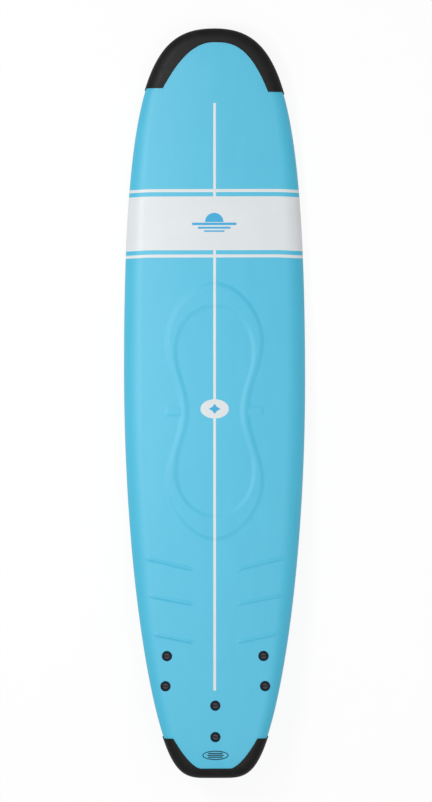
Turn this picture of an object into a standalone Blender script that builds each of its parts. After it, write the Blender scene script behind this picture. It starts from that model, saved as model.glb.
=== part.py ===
"""Soft-top surfboard with a bolt-through set of three fins, for Blender 4.5.

The board has its own frame: x across, y towards the nose, z up from the lowest point of the bottom.
One empty carries everything and lays the board down on its belly and its fin tips, as it lies on a
floor. A place along the board is given as its distance from the tail.
"""

import math

import bpy
from mathutils import Matrix, Vector
from mathutils.bvhtree import BVHTree

# Plan shape, tip to tip over the bumpers. A place is a share of the length from the tail, and a pull is
# a curve's handle as a share of the span beside it.
LENGTH = 2.4384
HALF_WIDTH = 0.295
WIDE_PLACE = 0.5372
NOSE_SIDE_PULL = 0.877
NOSE_TIP_PULL = 0.664
TAIL_SIDE_PULL = 0.482
TAIL_CORNER_AT = 0.090
TAIL_CORNER_HALF = 0.1527
TAIL_CORNER_LEAN = math.radians(23.2)
CORNER_FORE_PULL = 0.141
CORNER_AFT_PULL = 0.684
TAIL_TIP_PULL = 0.4715

# Side shape
THICKNESS = 0.086
NOSE_THICKNESS = 0.042
TAIL_THICKNESS = 0.045
THICK_PLACE = 0.5085
FOIL_POWER = 2.6
NOSE_ROCKER = 0.125
TAIL_ROCKER = 0.055
FLAT_PLACE = 0.4511
NOSE_ROCKER_POWER = 2.7
TAIL_ROCKER_POWER = 2.2

# Rail, at the thickest point
CROWN = 0.020
RAIL_DROP = 0.030
RAIL_IN = 0.060
EDGE_IN = 0.032

# Layers, and the clearance between pieces that touch
GAP = 0.0003
SKIN = 0.0052
SLICK = 0.0015
FILM = 0.0009
SEAM_LAND = 0.006
STRINGER = 0.006
STRINGER_AT = 0.072

# Bumpers: how far each reaches over the deck, from its own tip
BUMPER_WALL = 0.0027
BUMPER_TO_SEAM = 0.008
NOSE_FLANGE = 0.0446
NOSE_ARCH_HALF = 0.166
NOSE_END_LEFT = 0.194
NOSE_END_RIGHT = 0.207
TAIL_FLANGE = 0.0313
TAIL_FLAT_HALF = 0.048
TAIL_ARCH_HALF = 0.1367
TAIL_ARCH_POWER = 1.6
TAIL_END = 0.1286

# White film let into the deck
BAND_PLACE = 0.7403
BAND_WIDTH = 0.1755
PIN_WIDTH = 0.0102
PIN_SPACE = 0.0134
LINE_WIDTH = 0.0090
LINE_FROM_NOSE = 0.2425
LINE_TO_CUP = 0.038
OVAL_PLACE = 0.4925
OVAL_HALF_WIDTH = 0.0455
OVAL_HALF_LENGTH = 0.0303
TAIL_OVAL_AT = 0.0742
TAIL_OVAL_HALF_WIDTH = 0.0430
TAIL_OVAL_HALF_LENGTH = 0.0155
FILM_END = -1 / 2

# Raised hourglass rib: half sizes of its outer contour, and how much further in the inner one lies
RIB_PLACE = 0.4897
RIB_WAIST = 0.108
RIB_LOBE = 0.155
RIB_LOBE_AT = 0.2295
RIB_END = 0.416
RIB_WAIST_WIDTH = 0.0194
RIB_LOBE_WIDTH = 0.028
RIB_LOBE_SHIFT = 0.0345
RIB_END_WIDTH = 0.074
RIB_END_POWER = 1.8
RIB_POWER_GAIN = 0.2
RIB_KNEE = 0.45
RIB_PROFILE = ((0, 0), (0.28, 0.85), (0.5, 1), (0.72, 0.85), (1, 0))

# Other raised forms; a row of bars is its inner ends' place and how far the outer ends lie ahead
PRESS_RISE = 0.0030
PRESS_ROOT = 0.0028
PRESS_SINK = 0.0008
TAB_REACH = 0.053
TAB_LENGTH = 0.036
TAB_SLOPE = 0.007
TAB_SHARE = 0.8
BAR_WIDTH = 0.0145
BAR_IN = 0.067
BAR_FROM_EDGE = 0.0384
BAR_ROWS = ((0.27805, 0.040), (0.23212, 0.029), (0.18127, 0.0275))
BAR_CREST = 0.4
BAR_TIP = 0.3
BAR_SHARE = 0.9

# Where the fins stand, and their blades
SIDE_FIN_AT = 0.344
SIDE_FIN_FROM_EDGE = 0.0599
SIDE_FIN_TOE = math.radians(2.9)
SIDE_FIN_CANT = math.radians(4)
SIDE_BOLT_SPACING = 0.098
CENTRE_FIN_AT = 0.1796
CENTRE_BOLT_SPACING = 0.102
FIN_DEPTH = 0.112
FIN_CHORD = 0.116
FIN_RAKE = 0.064
FIN_TIP = 0.014
FIN_THICKNESS = 0.0085
FIN_THINNING = 0.7
FIN_EDGE = 0.001
LEAD_SWEEP = 1.7
TRAIL_SWEEP = 2
TRAIL_BULGE = 0.014
BLADE_LEVELS = (0, 0.12, 0.3, 0.5, 0.68, 0.84, 0.94, 1)
BLADE_CHORDWISE = (0, 0.12, 0.35, 0.7, 1)
BLADE_FORWARD = 0.8

# Fin feet and posts
FOOT_MARGIN = 0.014
FOOT_COVER = 0.0012
FOOT_THICKNESS = 0.005
FOOT_CHAMFER = 0.0018
POST_HEIGHT = 0.026
POST_WALL = 0.0011
SLEEVE_WALL = 0.0017

# Screws, the inserts that take their thread and the deck cups that hold their heads
SHANK_RADIUS = 0.004
SHANK_CHAMFER = 0.0012
THREAD_HELD = 0.017
INSERT_SPARE = 0.001
INSERT_WALL = 0.0023
HEAD_RADIUS = 0.01025
HEAD_HEIGHT = 0.004
HEAD_CHAMFER = 0.0006
HEAD_SUNK = 0.001
SLOT_MARGIN = 0.00125
SLOT_WIDTH = 0.0035
SLOT_DEPTH = 0.0022
LAST_SLOT_TURN = math.radians(-8)
CUP_WALL = 0.002
CUP_FLOOR = 0.0022
CUP_FLANGE = 0.0032
CUP_FLANGE_REACH = 0.0037
CUP_PROUD = 0.0012
CUP_CHAMFER = 0.001

# How finely the curved surfaces are cut up, and how far a cutter runs past what it cuts
TAIL_RAYS = 8
NOSE_RAYS = 8
STATION_STEP = 0.125
STATION_CLEAR = 0.3
ROUND_SIDES = 16
OVAL_SIDES = 32
RIB_TURNS = 48
BAR_SHARES = (0, 0.1, 0.3, 0.5, 0.7, 0.9, 1)
CUT_PAST = 0.03
FILM_CUT_PAST = 0.003

# How closely an edge is searched for, how far out, and how near to the middle
HALVINGS = 26
SEARCH_OUT = 1.5
SEARCH_IN = 0.98

# Sizes that follow from those above
QUARTER = math.pi / 2
WIDE_POINT = LENGTH * WIDE_PLACE
THICK_POINT = LENGTH * THICK_PLACE
FLAT_POINT = LENGTH * FLAT_PLACE
RAIL_RISE = THICKNESS - CROWN - RAIL_DROP
LIP = BUMPER_WALL + GAP
SEAM_IN = EDGE_IN + SEAM_LAND
BUMPER_UNDER = SEAM_IN - BUMPER_TO_SEAM
NOSE_POLE = LENGTH - min(NOSE_END_LEFT, NOSE_END_RIGHT)
RIB_AT = LENGTH * RIB_PLACE
OVAL_AT = LENGTH * OVAL_PLACE
CHANNEL = FILM + GAP
INSERT_BORE = SHANK_RADIUS + GAP
INSERT_RADIUS = INSERT_BORE + INSERT_WALL
INSERT_LOW = POST_HEIGHT - THREAD_HELD - INSERT_SPARE
WELL_RADIUS = INSERT_RADIUS + GAP
POST_RADIUS = WELL_RADIUS + POST_WALL
SLEEVE_BORE = POST_RADIUS + GAP
SLEEVE_RADIUS = SLEEVE_BORE + SLEEVE_WALL
WAY_RADIUS = SLEEVE_RADIUS + GAP
FOOT_HALF_WIDTH = WAY_RADIUS + FOOT_COVER
CUP_BORE = HEAD_RADIUS + GAP
CUP_OUTSIDE = CUP_BORE + CUP_WALL
CUP_RADIUS = CUP_OUTSIDE + CUP_FLANGE_REACH
HEAD_TOP = CUP_PROUD - HEAD_SUNK
CUP_INSIDE = HEAD_TOP - HEAD_HEIGHT - GAP
CUP_BOTTOM = CUP_INSIDE - CUP_FLOOR
LINE_TAIL_END = CENTRE_FIN_AT + CENTRE_BOLT_SPACING / 2 + CUP_RADIUS + LINE_TO_CUP

BLUE, WHITE, BLACK = (0.133, 0.546, 0.768), (0.72, 0.79, 0.81), (0.017, 0.016, 0.016)
GREY, FOAM, WOOD = (0.104, 0.087, 0.097), (0.85, 0.85, 0.82), (0.52, 0.33, 0.17)
SLICK_BLUE, PRINT_BLUE, BRASS = (0.10, 0.42, 0.62), (0.02, 0.11, 0.16), (0.62, 0.42, 0.16)


# Materials and mesh making
def finish(name, colour, roughness, metallic=0.0):
    material = bpy.data.materials.new(name)
    material.use_nodes = True
    shader = material.node_tree.nodes["Principled BSDF"]
    shader.inputs["Base Color"].default_value = (*colour, 1)
    shader.inputs["Roughness"].default_value = roughness
    shader.inputs["Metallic"].default_value = metallic
    return material


def grid_triangles(ids, wrap_rows, wrap_columns):
    """Triangles over a grid of vertex numbers, without those that equal numbers collapse."""
    rows, columns = len(ids), len(ids[0])
    for i in range(rows if wrap_rows else rows - 1):
        for j in range(columns if wrap_columns else columns - 1):
            a, b = ids[i][j], ids[i][(j + 1) % columns]
            d, c = ids[(i + 1) % rows][j], ids[(i + 1) % rows][(j + 1) % columns]
            for triangle in ((a, b, c), (a, c, d)):
                if len(set(triangle)) == 3:
                    yield triangle


def solid(name, top, bottom=None, wrap_rows=False, wrap_columns=False):
    """A mesh from rows of points. Given a second grid it is the slab between the two, walled all round."""
    numbers, points, under, ids = {}, [], [], []
    for i, row in enumerate(top):
        ids.append([])
        for j, point in enumerate(row):
            key = tuple(round(value, 6) for value in point)
            if key not in numbers:
                numbers[key] = len(points)
                points.append(point)
                under.append(bottom[i][j] if bottom else None)
            ids[-1].append(numbers[key])
    faces = list(grid_triangles(ids, wrap_rows, wrap_columns))
    if bottom:
        count = len(points)
        edges = {(f[k], f[(k + 1) % 3]) for f in faces for k in range(3)}
        walls = [(a, b) for a, b in edges if (b, a) not in edges]
        faces += [(c + count, b + count, a + count) for a, b, c in faces]
        for a, b in sorted(walls):
            faces += [(b, a, a + count), (b, a + count, b + count)]
        points += under
    mesh = bpy.data.meshes.new(name)
    mesh.from_pydata(points, [], faces)
    volume = sum(
        Vector(points[a]).dot(Vector(points[b]).cross(Vector(points[c]))) for a, b, c in faces
    )
    if volume < 0:
        mesh.flip_normals()
    mesh.shade_smooth()
    mesh.set_sharp_from_angle(angle=math.radians(40))
    return mesh


def place(name, mesh, parent, material, at=(0, 0, 0), turn=0.0):
    node = bpy.data.objects.new(name, mesh)
    bpy.context.scene.collection.objects.link(node)
    node.parent = parent
    node.location = at
    node.rotation_euler = (0, 0, turn)
    if material:
        mesh.materials.clear()
        mesh.materials.append(material)
    return node


def empty(name, parent=None):
    node = bpy.data.objects.new(name, None)
    bpy.context.scene.collection.objects.link(node)
    node.parent = parent
    return node


def tools(name, *nodes):
    """A collection of helpers that shape other pieces and are no pieces themselves."""
    group = bpy.data.collections.new(name)
    bpy.context.scene.collection.children.link(group)
    for node in nodes:
        bpy.context.scene.collection.objects.unlink(node)
        group.objects.link(node)
        node.hide_render = True
        node.display_type = "WIRE"
    return group


def shape(node, operation, group):
    modifier = node.modifiers.new(operation.lower(), "BOOLEAN")
    modifier.operation = operation
    modifier.operand_type = "COLLECTION"
    modifier.collection = group
    modifier.solver = "EXACT"


def box(low, high):
    corners = [[(x, y, low[2]) for y in (low[1], high[1])] for x in (low[0], high[0])]
    lids = [[(x, y, high[2]) for x, y, _ in row] for row in corners]
    return solid("box", corners, lids)


def turned(name, profile, tube=False):
    """A round piece about its own z axis, from its half section as (radius, height) points."""
    rows = []
    for k in range(ROUND_SIDES):
        angle = 2 * math.pi * k / ROUND_SIDES
        rows.append([(r * math.cos(angle), r * math.sin(angle), z) for r, z in profile])
    return solid(name, rows, wrap_rows=True, wrap_columns=tube)


# The board's surface
def bezier(points, t):
    a, b, c, d = points
    return a * (1 - t) ** 3 + b * (3 * t * (1 - t) ** 2) + c * (3 * t * t * (1 - t)) + d * t**3


def outline_curves():
    """The right edge in plan as three curves, tail to nose: (half width, distance from the tail)."""
    wide = Vector((HALF_WIDTH, WIDE_POINT))
    corner = Vector((TAIL_CORNER_HALF, TAIL_CORNER_AT))
    lean = Vector((math.sin(TAIL_CORNER_LEAN), math.cos(TAIL_CORNER_LEAN)))
    tail, nose = Vector((0, LIP)), Vector((0, LENGTH - LIP))
    to_side = Vector((0, WIDE_POINT - TAIL_CORNER_AT))
    to_nose = Vector((0, nose.y - WIDE_POINT))
    before_corner = corner - lean * CORNER_AFT_PULL * TAIL_CORNER_HALF
    past_corner = corner + lean * CORNER_FORE_PULL * to_side.y
    beside_nose = nose + Vector((NOSE_TIP_PULL * HALF_WIDTH, 0))
    return (
        (tail, tail + Vector((TAIL_TIP_PULL * TAIL_CORNER_HALF, 0)), before_corner, corner),
        (corner, past_corner, wide - to_side * TAIL_SIDE_PULL, wide),
        (wide, wide + to_nose * NOSE_SIDE_PULL, beside_nose, nose),
    )


OUTLINE = outline_curves()


def root_of(inside, low, high):
    """Where a test that holds at low stops holding on the way to high."""
    for _ in range(HALVINGS):
        middle = (low + high) / 2
        low, high = (middle, high) if inside(middle) else (low, middle)
    return (low + high) / 2


def half_width(s):
    for curve in OUTLINE:
        if s <= curve[3].y:
            return bezier(curve, root_of(lambda t: bezier(curve, t).y < s, 0, 1)).x
    return 0.0


def ends_share(s, point, power):
    """How far s is from a point on the board's length, as a power of its share of the way to the tip."""
    span = LENGTH - LIP - point if s > point else point - LIP
    return (abs(s - point) / span) ** power


def foil(s):
    end = NOSE_THICKNESS if s > THICK_POINT else TAIL_THICKNESS
    return 1 - (1 - end / THICKNESS) * min(1, ends_share(s, THICK_POINT, FOIL_POWER))


def rocker(s):
    if s > FLAT_POINT:
        return NOSE_ROCKER * ends_share(s, FLAT_POINT, NOSE_ROCKER_POWER)
    return TAIL_ROCKER * ends_share(s, FLAT_POINT, TAIL_ROCKER_POWER)


def along(s):
    return s - LENGTH / 2


def ray_section(pole, angle, sign):
    """A section that fans out from a pole near one tip; the angle is from the centre line."""
    way = Vector((math.sin(angle), sign * math.cos(angle)))
    start = Vector((0, pole))

    def inside(r):
        spot = start + way * r
        return LIP < spot.y < LENGTH - LIP and spot.x < half_width(spot.y)

    reach = root_of(inside, 0, HALF_WIDTH * SEARCH_OUT)
    return start + way * reach, start


def cross_section(s):
    return Vector((half_width(s), s)), Vector((0, s))


def film_edges():
    """The cross band's and the pin lines' edges, from tail to nose."""
    middle = LENGTH * BAND_PLACE
    low, high = middle - BAND_WIDTH / 2, middle + BAND_WIDTH / 2
    pin = PIN_SPACE + PIN_WIDTH
    return low - pin, low - PIN_SPACE, low, high, high + PIN_SPACE, high + pin


def stations():
    """Distances from the tail of the sections between the two fans."""
    fixed = {TAIL_END, LENGTH - NOSE_END_LEFT, LENGTH - NOSE_END_RIGHT, *film_edges()}
    steps = round((NOSE_POLE - TAIL_END) / STATION_STEP)
    even = [TAIL_END + (NOSE_POLE - TAIL_END) * k / steps for k in range(steps + 1)]
    clear = [s for s in even if min(abs(s - f) for f in fixed) > STATION_STEP * STATION_CLEAR]
    return sorted(fixed | set(clear))


STATIONS = stations()
TAIL_FAN = [ray_section(TAIL_END, QUARTER * k / TAIL_RAYS, -1) for k in range(TAIL_RAYS)]
NOSE_FAN = [ray_section(NOSE_POLE, QUARTER * k / NOSE_RAYS, 1) for k in range(NOSE_RAYS)]
RIGHT_HALF = TAIL_FAN + [cross_section(s) for s in STATIONS] + NOSE_FAN[::-1]


def mirrored(section):
    edge, centre = section
    return Vector((-edge.x, edge.y)), centre


ALL_ROUND = RIGHT_HALF + [mirrored(section) for section in RIGHT_HALF[-2:0:-1]]


def surface(section, v, inset=0.0):
    """A point of the board's outside, or of a layer that lies inset below it.

    v runs -2 at the middle of the bottom, -1 where the lower rail arc starts, 0 at the rail's widest,
    1 where the upper rail arc ends and 2 at the middle of the deck.
    """
    edge, centre = section
    reach = (centre - edge).length
    arc_in = (RAIL_IN if v >= 0 else EDGE_IN) * foil(edge.y)
    arc = min(abs(v), 1) * QUARTER
    depth = arc_in - (arc_in - inset) * math.cos(arc)
    if abs(v) > 1:
        depth = arc_in + (abs(v) - 1) * (reach - arc_in)
    spot = edge + (centre - edge) * (depth / reach)
    share = foil(spot.y)
    widest = rocker(spot.y) + RAIL_DROP * share
    if v < 0:
        z = widest - (RAIL_DROP * share - inset) * math.sin(arc)
    else:
        w = max(0, depth / reach)
        z = widest + (RAIL_RISE * share - inset) * math.sin(arc) + CROWN * share * w * (2 - w)
    return Vector((spot.x, along(spot.y), z))


def v_at(section, depth, side):
    """The v of a plan depth in from the edge, on the deck (side 1) or the bottom (side -1)."""
    edge, centre = section
    arc_in = (RAIL_IN if side > 0 else EDGE_IN) * foil(edge.y)
    reach = (centre - edge).length
    if depth < arc_in:
        return side * math.acos(1 - depth / arc_in) / QUARTER
    return side * (1 + (depth - arc_in) / (reach - arc_in))


def layer(name, sections, lanes, outer, inner, wrap_rows=True):
    """The slab between two insets, over the v lanes that a function gives for each section."""
    top = [[surface(section, v, outer) for v in lanes(section)] for section in sections]
    below = [[surface(section, v, inner) for v in lanes(section)] for section in sections]
    return solid(name, top, below, wrap_rows=wrap_rows)


RAIL_LANES = [-1, -1 / 2, 0, 1 / 4, 1 / 2, 3 / 4, 1]
DECK_LANES = [4 / 3, 5 / 3, 2]


def skin_lanes(section):
    return [v_at(section, SEAM_IN, -1)] + RAIL_LANES + DECK_LANES


def sheet_lanes(section):
    return [-2, v_at(section, SEAM_IN + GAP, -1)]


def core_lanes(section):
    return [-2, -1, -1 / 2, 0, 1 / 2, 1] + DECK_LANES


# Materials
deck_foam = finish("deck_foam", BLUE, 0.55)
white_film = finish("white_film", WHITE, 0.45)
black_rubber = finish("black_rubber", BLACK, 0.6)
bead_foam = finish("bead_foam", FOAM, 0.9)
ply = finish("stringer_ply", WOOD, 0.6)
slick_plastic = finish("slick_plastic", SLICK_BLUE, 0.3)
sheet_foam = finish("sheet_foam", FOAM, 0.8)
fin_plastic = finish("fin_plastic", BLACK, 0.45)
cup_plastic = finish("cup_plastic", BLACK, 0.5)
screw_plastic = finish("screw_plastic", GREY, 0.45)
sleeve_plastic = finish("sleeve_plastic", WHITE, 0.5)
insert_brass = finish("insert_brass", BRASS, 0.35, 1.0)
blue_print = finish("blue_print", PRINT_BLUE, 0.45)

for old in list(bpy.data.objects):
    bpy.data.objects.remove(old)
board = empty("board")

# Skin, core, stringers and bottom sheets
deck_skin = place("deck_skin", layer("deck_skin", ALL_ROUND, skin_lanes, 0, SKIN), board, deck_foam)
slick = layer("bottom_slick", ALL_ROUND, sheet_lanes, 0, SLICK)
underlay = layer("bottom_underlay", ALL_ROUND, sheet_lanes, SLICK + GAP, SKIN)
bottom_slick = place("bottom_slick", slick, board, slick_plastic)
bottom_underlay = place("bottom_underlay", underlay, board, sheet_foam)


def core_mesh(name):
    rows = [[surface(section, v, SKIN + GAP) for v in core_lanes(section)] for section in ALL_ROUND]
    return solid(name, rows, wrap_rows=True)


def core_piece(name, low, high, material):
    """What the core's whole shape holds between two upright planes."""
    node = place(name, core_mesh(name), board, material)
    slab = place(f"{name}_slab", box((low, -LENGTH, -LENGTH), (high, LENGTH, LENGTH)), board, None)
    shape(node, "INTERSECT", tools(f"{name}_between", slab))
    return node


near, far = STRINGER_AT - STRINGER / 2, STRINGER_AT + STRINGER / 2
cores = [
    core_piece("core_left", -LENGTH, -far - GAP, bead_foam),
    core_piece("core_centre", -near + GAP, near - GAP, bead_foam),
    core_piece("core_right", far + GAP, LENGTH, bead_foam),
]
core_piece("stringer_left", -far, -near, ply)
core_piece("stringer_right", near, far, ply)


# Bumpers
def flange_depth(section, beyond):
    """How far in from the edge a section leaves the strip that a bumper's deck flange covers."""
    edge, centre = section
    reach = (centre - edge).length
    return root_of(lambda d: not beyond(edge + (centre - edge) * (d / reach)), 0, reach * SEARCH_IN)


def past_nose_flange(spot):
    arch = (NOSE_END_LEFT - NOSE_FLANGE) / NOSE_ARCH_HALF**2
    return LENGTH - spot.y > NOSE_FLANGE + arch * spot.x**2


def past_tail_flange(spot):
    out = max(0, abs(spot.x) - TAIL_FLAT_HALF) / (TAIL_ARCH_HALF - TAIL_FLAT_HALF)
    return spot.y > TAIL_FLANGE + (TAIL_END - TAIL_FLANGE) * out**TAIL_ARCH_POWER


def bumper(name, sections, beyond):
    def lanes(section):
        end = v_at(section, flange_depth(section, beyond), 1)
        rail = [min(v, end) for v in RAIL_LANES]
        return [v_at(section, BUMPER_UNDER, -1), *rail, (rail[-1] + end) / 2, end]

    mesh = layer(name, sections, lanes, -LIP, -GAP, wrap_rows=False)
    return place(name, mesh, board, black_rubber)


def nose_side(end):
    """Sections from a bumper end to the tip, the tip left out."""
    apart = [s for s in STATIONS if LENGTH - end - GAP < s]
    return [cross_section(s) for s in apart] + NOSE_FAN[:0:-1]


left_nose = [mirrored(section) for section in nose_side(NOSE_END_LEFT)]
bumper("nose_bumper", left_nose + NOSE_FAN[:1] + nose_side(NOSE_END_RIGHT)[::-1], past_nose_flange)
tail_side = [cross_section(TAIL_END)] + TAIL_FAN[:0:-1]
left_tail = [mirrored(section) for section in tail_side]
bumper("tail_bumper", left_tail + TAIL_FAN[:1] + tail_side[::-1], past_tail_flange)


# Raised rib, tabs and bars pressed up from the skin
def deck_tree():
    """The deck skin as it stands now, for finding its height."""
    return BVHTree.FromObject(deck_skin, bpy.context.evaluated_depsgraph_get())


def height(tree, x, y):
    return tree.ray_cast(Vector((x, y, 1)), Vector((0, 0, -1)))[0].z


bare_deck = deck_tree()


def pressed(name, rows, wrap_rows=False):
    """A raised form from rows of (x, y, rise), rooted inside the skin."""
    top = [[(x, y, height(bare_deck, x, y) + rise) for x, y, rise in row] for row in rows]
    below = [[(x, y, height(bare_deck, x, y) - PRESS_ROOT) for x, y, _ in row] for row in rows]
    return place(name, solid(name, top, below, wrap_rows=wrap_rows), board, deck_foam)


def rib_point(turn, inward):
    """A point of the rib in plan, by the share of the way round it from the waist on the right, and the
    share of the way from its outer contour in to its inner one."""
    quarter, share = divmod(turn * 4, 1)
    if quarter % 2:
        share = 1 - share
    right = 1 if quarter in (0, 3) else -1
    ahead = 1 if quarter in (0, 1) else -1
    waist = RIB_WAIST - RIB_WAIST_WIDTH * inward
    lobe = RIB_LOBE - RIB_LOBE_WIDTH * inward
    lobe_at = RIB_LOBE_AT - RIB_LOBE_SHIFT * inward
    if share < RIB_KNEE:
        y = lobe_at * share / RIB_KNEE
        x = (lobe + waist) / 2 - (lobe - waist) / 2 * math.cos(math.pi * y / lobe_at)
    else:
        angle = QUARTER * (share - RIB_KNEE) / (1 - RIB_KNEE)
        power = 2 / (RIB_END_POWER + RIB_POWER_GAIN * inward)
        y = lobe_at + (RIB_END - RIB_END_WIDTH * inward - lobe_at) * math.sin(angle) ** power
        x = lobe * math.cos(angle) ** power
    return right * x, along(RIB_AT) + ahead * y


def pressed_rise(share):
    """The height of a raised form over the skin; where it has none it dips under."""
    return PRESS_RISE * share if share else -PRESS_SINK


def hourglass_rows():
    turns = [k / RIB_TURNS for k in range(RIB_TURNS)]
    return [[(*rib_point(turn, 1 - out), pressed_rise(up)) for out, up in RIB_PROFILE] for turn in turns]


def tab_rows(side):
    """A flat-topped tab that grows out of the rib's waist."""
    start = RIB_WAIST - RIB_WAIST_WIDTH / 2
    end, half = RIB_WAIST + TAB_REACH, TAB_LENGTH / 2
    outward = (start, start + TAB_SLOPE, end - TAB_SLOPE, end)
    lengthwise = (-half, -half + TAB_SLOPE, half - TAB_SLOPE, half)
    rows = []
    for y in lengthwise:
        flat = abs(y) < half
        row = [(x, TAB_SHARE if flat and start < x < end else 0) for x in outward]
        rows.append([(side * x, along(RIB_AT) + y, pressed_rise(share)) for x, share in row])
    return rows


def bar_rows(side, place, ahead):
    """A raised bar that runs out and forward towards the rail."""
    start = LENGTH * place
    inner = Vector((BAR_IN, along(start)))
    outer = Vector((half_width(start + ahead) - BAR_FROM_EDGE, along(start + ahead)))
    way = (outer - inner).normalized()
    out = Vector((-way.y, way.x)) * BAR_WIDTH / 2
    rows = []
    for share in BAR_SHARES:
        tip = share in (0, 1)
        middle, width = inner.lerp(outer, share), BAR_TIP if tip else 1
        row = []
        for lean, lift in ((-1, 0), (-BAR_CREST, BAR_SHARE), (BAR_CREST, BAR_SHARE), (1, 0)):
            x, y = middle + out * lean * width
            row.append((side * x, y, pressed_rise(0 if tip else lift)))
        rows.append(row)
    return rows


raised = [pressed("rib", hourglass_rows(), wrap_rows=True)]
for side, name in ((-1, "left"), (1, "right")):
    raised.append(pressed(f"tab_{name}", tab_rows(side)))
    for k, row in enumerate(BAR_ROWS):
        raised.append(pressed(f"bar_{name}_{k}", bar_rows(side, *row)))
shape(deck_skin, "UNION", tools("raised_forms", *raised))
full_deck = deck_tree()

# Film that goes right across, over both rails
channels = []


def across(name, low, high, outer, inner, play):
    """A strip over both rails between two distances from the tail, grown all round by play."""
    between = [s for s in STATIONS if low < s < high and play >= 0]
    rows = [cross_section(s) for s in (low - play, *between, high + play)]
    lanes = [FILM_END - play / RAIL_DROP] + [v for v in RAIL_LANES + DECK_LANES if v > FILM_END]

    def full_row(section, inset):
        right = [surface(section, v, inset) for v in lanes]
        left = [surface(mirrored(section), v, inset) for v in lanes[-2::-1]]
        return right + left

    top = [full_row(section, outer) for section in rows]
    below = [full_row(section, inner) for section in rows]
    return solid(name, top, below)


def lay_across(name, low, high):
    """A film strip over both rails, with the channel that it lies in."""
    cutter = across(name, low, high, -FILM_CUT_PAST, CHANNEL, GAP)
    channels.append(place(f"{name}_channel", cutter, board, None))
    return place(name, across(name, low, high, 0, FILM, 0), board, white_film)


# Film that lies on the deck, following its height
def laid_rows(x_low, x_high, y_low, y_high, breaks):
    stops = [y_low, *(y for y in breaks if y_low + GAP < y < y_high - GAP), y_high]
    return [[(x, y) for x in (x_low, 0, x_high)] for y in stops]


def slab_on_deck(name, rows, top, below, wrap_rows=False, wrap_columns=False):
    upper = [[(x, y, height(full_deck, x, y) + top) for x, y in row] for row in rows]
    lower = [[(x, y, height(full_deck, x, y) - below) for x, y in row] for row in rows]
    return solid(name, upper, lower, wrap_rows=wrap_rows, wrap_columns=wrap_columns)


def rib_breaks():
    """Where the rib's slopes change on the centre line, as distances along the board."""
    share, rise = RIB_PROFILE[1]
    foot = share * PRESS_SINK / (PRESS_SINK + PRESS_RISE * rise)
    shares = [share for share, _ in RIB_PROFILE] + [foot, 1 - foot]
    return [along(RIB_AT) + sign * (RIB_END - RIB_END_WIDTH * s) for sign in (1, -1) for s in shares]


BREAKS = sorted([along(s) for s in STATIONS] + rib_breaks())


def lay_line(name, low, high):
    """A length of the centre line, with its channel."""
    half = LINE_WIDTH / 2
    for play, top, below in ((GAP, FILM_CUT_PAST, CHANNEL), (0, 0, FILM)):
        rows = laid_rows(-half - play, half + play, along(low) - play, along(high) + play, BREAKS)
        mesh = slab_on_deck(name, rows, top, below)
        if play:
            channels.append(place(f"{name}_channel", mesh, board, None))
    return place(name, mesh, board, white_film)


def lay_oval(name, at, half_across, half_along, material):
    """An oval of film, with its recess."""
    for play, top, below in ((GAP, FILM_CUT_PAST, CHANNEL), (0, 0, FILM)):
        rim = []
        for k in range(OVAL_SIDES):
            angle = 2 * math.pi * k / OVAL_SIDES
            x = (half_across + play) * math.sin(angle)
            rim.append((x, along(at) + (half_along + play) * math.cos(angle)))
        rows = [[(0, along(at))] * OVAL_SIDES, rim]
        mesh = slab_on_deck(name, rows, top, below, wrap_columns=True)
        if play:
            channels.append(place(f"{name}_recess", mesh, board, None))
    return place(name, mesh, board, material)


rear_low, rear_high, band_low, band_high, front_low, front_high = film_edges()
lay_across("cross_band", band_low, band_high)
lay_across("front_pin_line", front_low, front_high)
lay_across("rear_pin_line", rear_low, rear_high)
lay_line("centre_line_nose", front_high + GAP, LENGTH - LINE_FROM_NOSE)
lay_line("centre_line_front_link", band_high + GAP, front_low - GAP)
lay_line("centre_line_rear_link", rear_high + GAP, band_low - GAP)
lay_line("centre_line_middle", OVAL_AT + OVAL_HALF_LENGTH + GAP, rear_low - GAP)
lay_line("centre_line_tail", LINE_TAIL_END, OVAL_AT - OVAL_HALF_LENGTH - GAP)
lay_oval("centre_oval", OVAL_AT, OVAL_HALF_WIDTH, OVAL_HALF_LENGTH, white_film)
lay_oval("tail_oval", TAIL_OVAL_AT, TAIL_OVAL_HALF_WIDTH, TAIL_OVAL_HALF_LENGTH, blue_print)
shape(deck_skin, "DIFFERENCE", tools("film_channels", *channels))

# Fin screws and what they pass through. Heights are from the deck, or from the bottom where a piece
# stands on the bottom.
ways = []


def cup_mesh():
    """A deck cup: a flange on the deck round a pot that holds the screw's head."""
    under = CUP_PROUD - CUP_FLANGE
    profile = [
        (INSERT_BORE, CUP_BOTTOM),
        (INSERT_BORE, CUP_INSIDE),
        (CUP_BORE, CUP_INSIDE),
        (CUP_BORE, CUP_PROUD),
        (CUP_RADIUS - CUP_CHAMFER, CUP_PROUD),
        (CUP_RADIUS, CUP_PROUD - CUP_CHAMFER),
        (CUP_RADIUS, under),
        (CUP_OUTSIDE, under),
        (CUP_OUTSIDE, CUP_BOTTOM),
    ]
    return turned("cup", profile, tube=True)


def screw_mesh(tip):
    """A screw from its tip up to its head, before its slot is cut."""
    under_head = HEAD_TOP - HEAD_HEIGHT
    profile = [
        (0, tip),
        (SHANK_RADIUS - SHANK_CHAMFER, tip),
        (SHANK_RADIUS, tip + SHANK_CHAMFER),
        (SHANK_RADIUS, under_head),
        (HEAD_RADIUS, under_head),
        (HEAD_RADIUS, HEAD_TOP - HEAD_CHAMFER),
        (HEAD_RADIUS - HEAD_CHAMFER, HEAD_TOP),
        (0, HEAD_TOP),
    ]
    return turned("screw", profile)


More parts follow.
